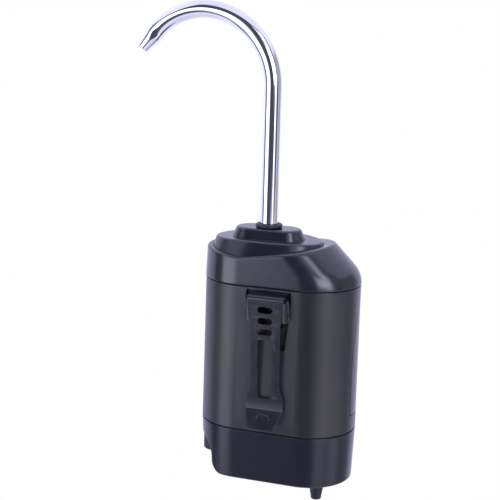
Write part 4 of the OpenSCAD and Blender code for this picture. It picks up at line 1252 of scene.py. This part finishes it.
# %% Thumb rib, ear beads, hinge pin and coil
SIDEWAYS = Vector((0.3, 0.2, 0.93))
RIB_R, EAR_BEAD_R, WIRE_R = 0.32, 0.38, 0.24
COIL_TURNS, COIL_STEPS, COIL_R, COIL_LONG = 9, 20, 1.16, 9.0


def tube_along(name, points, radius, sides=10):
    """A round wire along a run of points, with narrowed ends."""
    rings = []
    last = len(points) - 1
    for i, point in enumerate(points):
        before, after = Vector(points[max(i - 1, 0)]), Vector(points[min(i + 1, last)])
        forward = (after - before).normalized()
        across = forward.cross(SIDEWAYS).normalized()
        over = forward.cross(across)
        r = radius * (0.55 if i in (0, last) else 1.0)
        rings.append([tuple(Vector(point) + across * (r * math.cos(a)) + over * (r * math.sin(a)))
                      for a in full_turn(sides)])
    return from_rings(name, rings)


def on_lip(x, down, lift):
    """A point on the lip's outer face, some way down from the jaw bend."""
    y, z = lerp(LIP_TOP, LIP_END, down / lip_long)
    return CLIP_X + x, y - lift * lip_fall, z + lift * lip_flare


arch = ([(-3.0, 5.3), (-2.9, 4.6)] + arc((-2.75, 3.9), (-2.4, 2.4), (-0.9, 2.4), 5) + [(0.8, 2.5)]
        + arc((1.6, 2.5), (2.9, 2.6), (3.1, 4.2), 5) + [(3.2, 4.9)])
rib = tube_along("thumb_rib", [on_lip(x, down, 0.05) for x, down in arch], RIB_R)
dress(rib, "clip", "clip", CLIP_FINISH)

for side, name in ((-1, "left_ear_bead"), (1, "right_ear_bead")):
    bead = tube_along(name, [on_ear(side, a - 0.3, 0.4, v) for a, v in ear_edge], EAR_BEAD_R)
    dress(bead, "clip", "clip", CLIP_FINISH)

pin_end = [(0.1, -9.95), (0.45, -9.9), (0.7, -9.7), (0.8, -9.4)]
pin_profile = pin_end + [(r, -h) for r, h in reversed(pin_end)]
pin = from_rings("hinge_pin", turned_rings(pin_profile, "x", (CLIP_X, PIN_Y, PIN_Z), 24))
# painted shade: the pin's steel is darkened for the shade behind the clip
dress(pin, "housing", "steel", SHADE_PAINTED_STEEL, "clip_pin")

coil = []
for i in range(COIL_TURNS * COIL_STEPS + 1):
    a = 2 * math.pi * i / COIL_STEPS
    x = (i / (COIL_TURNS * COIL_STEPS) - 0.5) * COIL_LONG
    coil.append((x, PIN_Y + COIL_R * math.cos(a), PIN_Z + COIL_R * math.sin(a)))
spring = tube_along("torsion_coil", coil, WIRE_R, 8)
# painted shade: the coil's steel is darkened for the shade behind the clip
dress(spring, "housing", "steel", SHADE_PAINTED_STEEL, "clip_spring")

# %% [markdown]
# What is left keeps its CAD mesh and takes the finish of its own material: gears
# in acetal, pump and cradle in nylon, a sleeved cell, a green board and bright
# screws. The bracket behind the clip and its screws are steel painted near-black,
# as painted shade.

# %% Finishes on the remaining solids
PLAIN_SOLIDS = {
    "spout_retainer": STEEL_FINISH, "spout_socket": PLAIN_NYLON, "socket_plug": PLAIN_NYLON,
    "switch_plunger": IVORY_ACETAL, "tact_switch": CHIP_EPOXY, "control_board": BOARD_FINISH,
    "board_chips": CHIP_EPOXY, "board_screws": STEEL_FINISH, "battery_cell": CELL_SLEEVE,
    # painted shade: the bracket and its screws take the darkened steel
    "battery_cradle": DARK_NYLON, "clip_bracket": SHADE_PAINTED_STEEL, "bracket_screws": SHADE_PAINTED_STEEL,
    "motor_can": CAN_FINISH, "motor_shaft": STEEL_FINISH, "drive_gear": IVORY_ACETAL,
    "idler_gear": IVORY_ACETAL, "idler_axle": STEEL_FINISH, "pump_body": DARK_NYLON,
    "pump_cover": DARK_NYLON, "pump_screws": STEEL_FINISH, "usb_socket": STEEL_FINISH,
}
for name, finish in PLAIN_SOLIDS.items():
    solid = bpy.data.objects[name]
    solid.data.materials.clear()
    solid.data.materials.append(finish)
print("remaining solids finished:", len(PLAIN_SOLIDS))

# %% [markdown]
# Last, the render's view settings are plain, and the size of the dressed model
# is written beside the size of the solids, so the two can be compared.

# %% View settings and size
bpy.context.scene.view_settings.view_transform = "Standard"
dressed_box = [list(corner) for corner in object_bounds()]
for title, box in (("solids", cad_box), ("dressed", dressed_box)):
    print(title, [[round(v, 4) for v in corner] for corner in box])
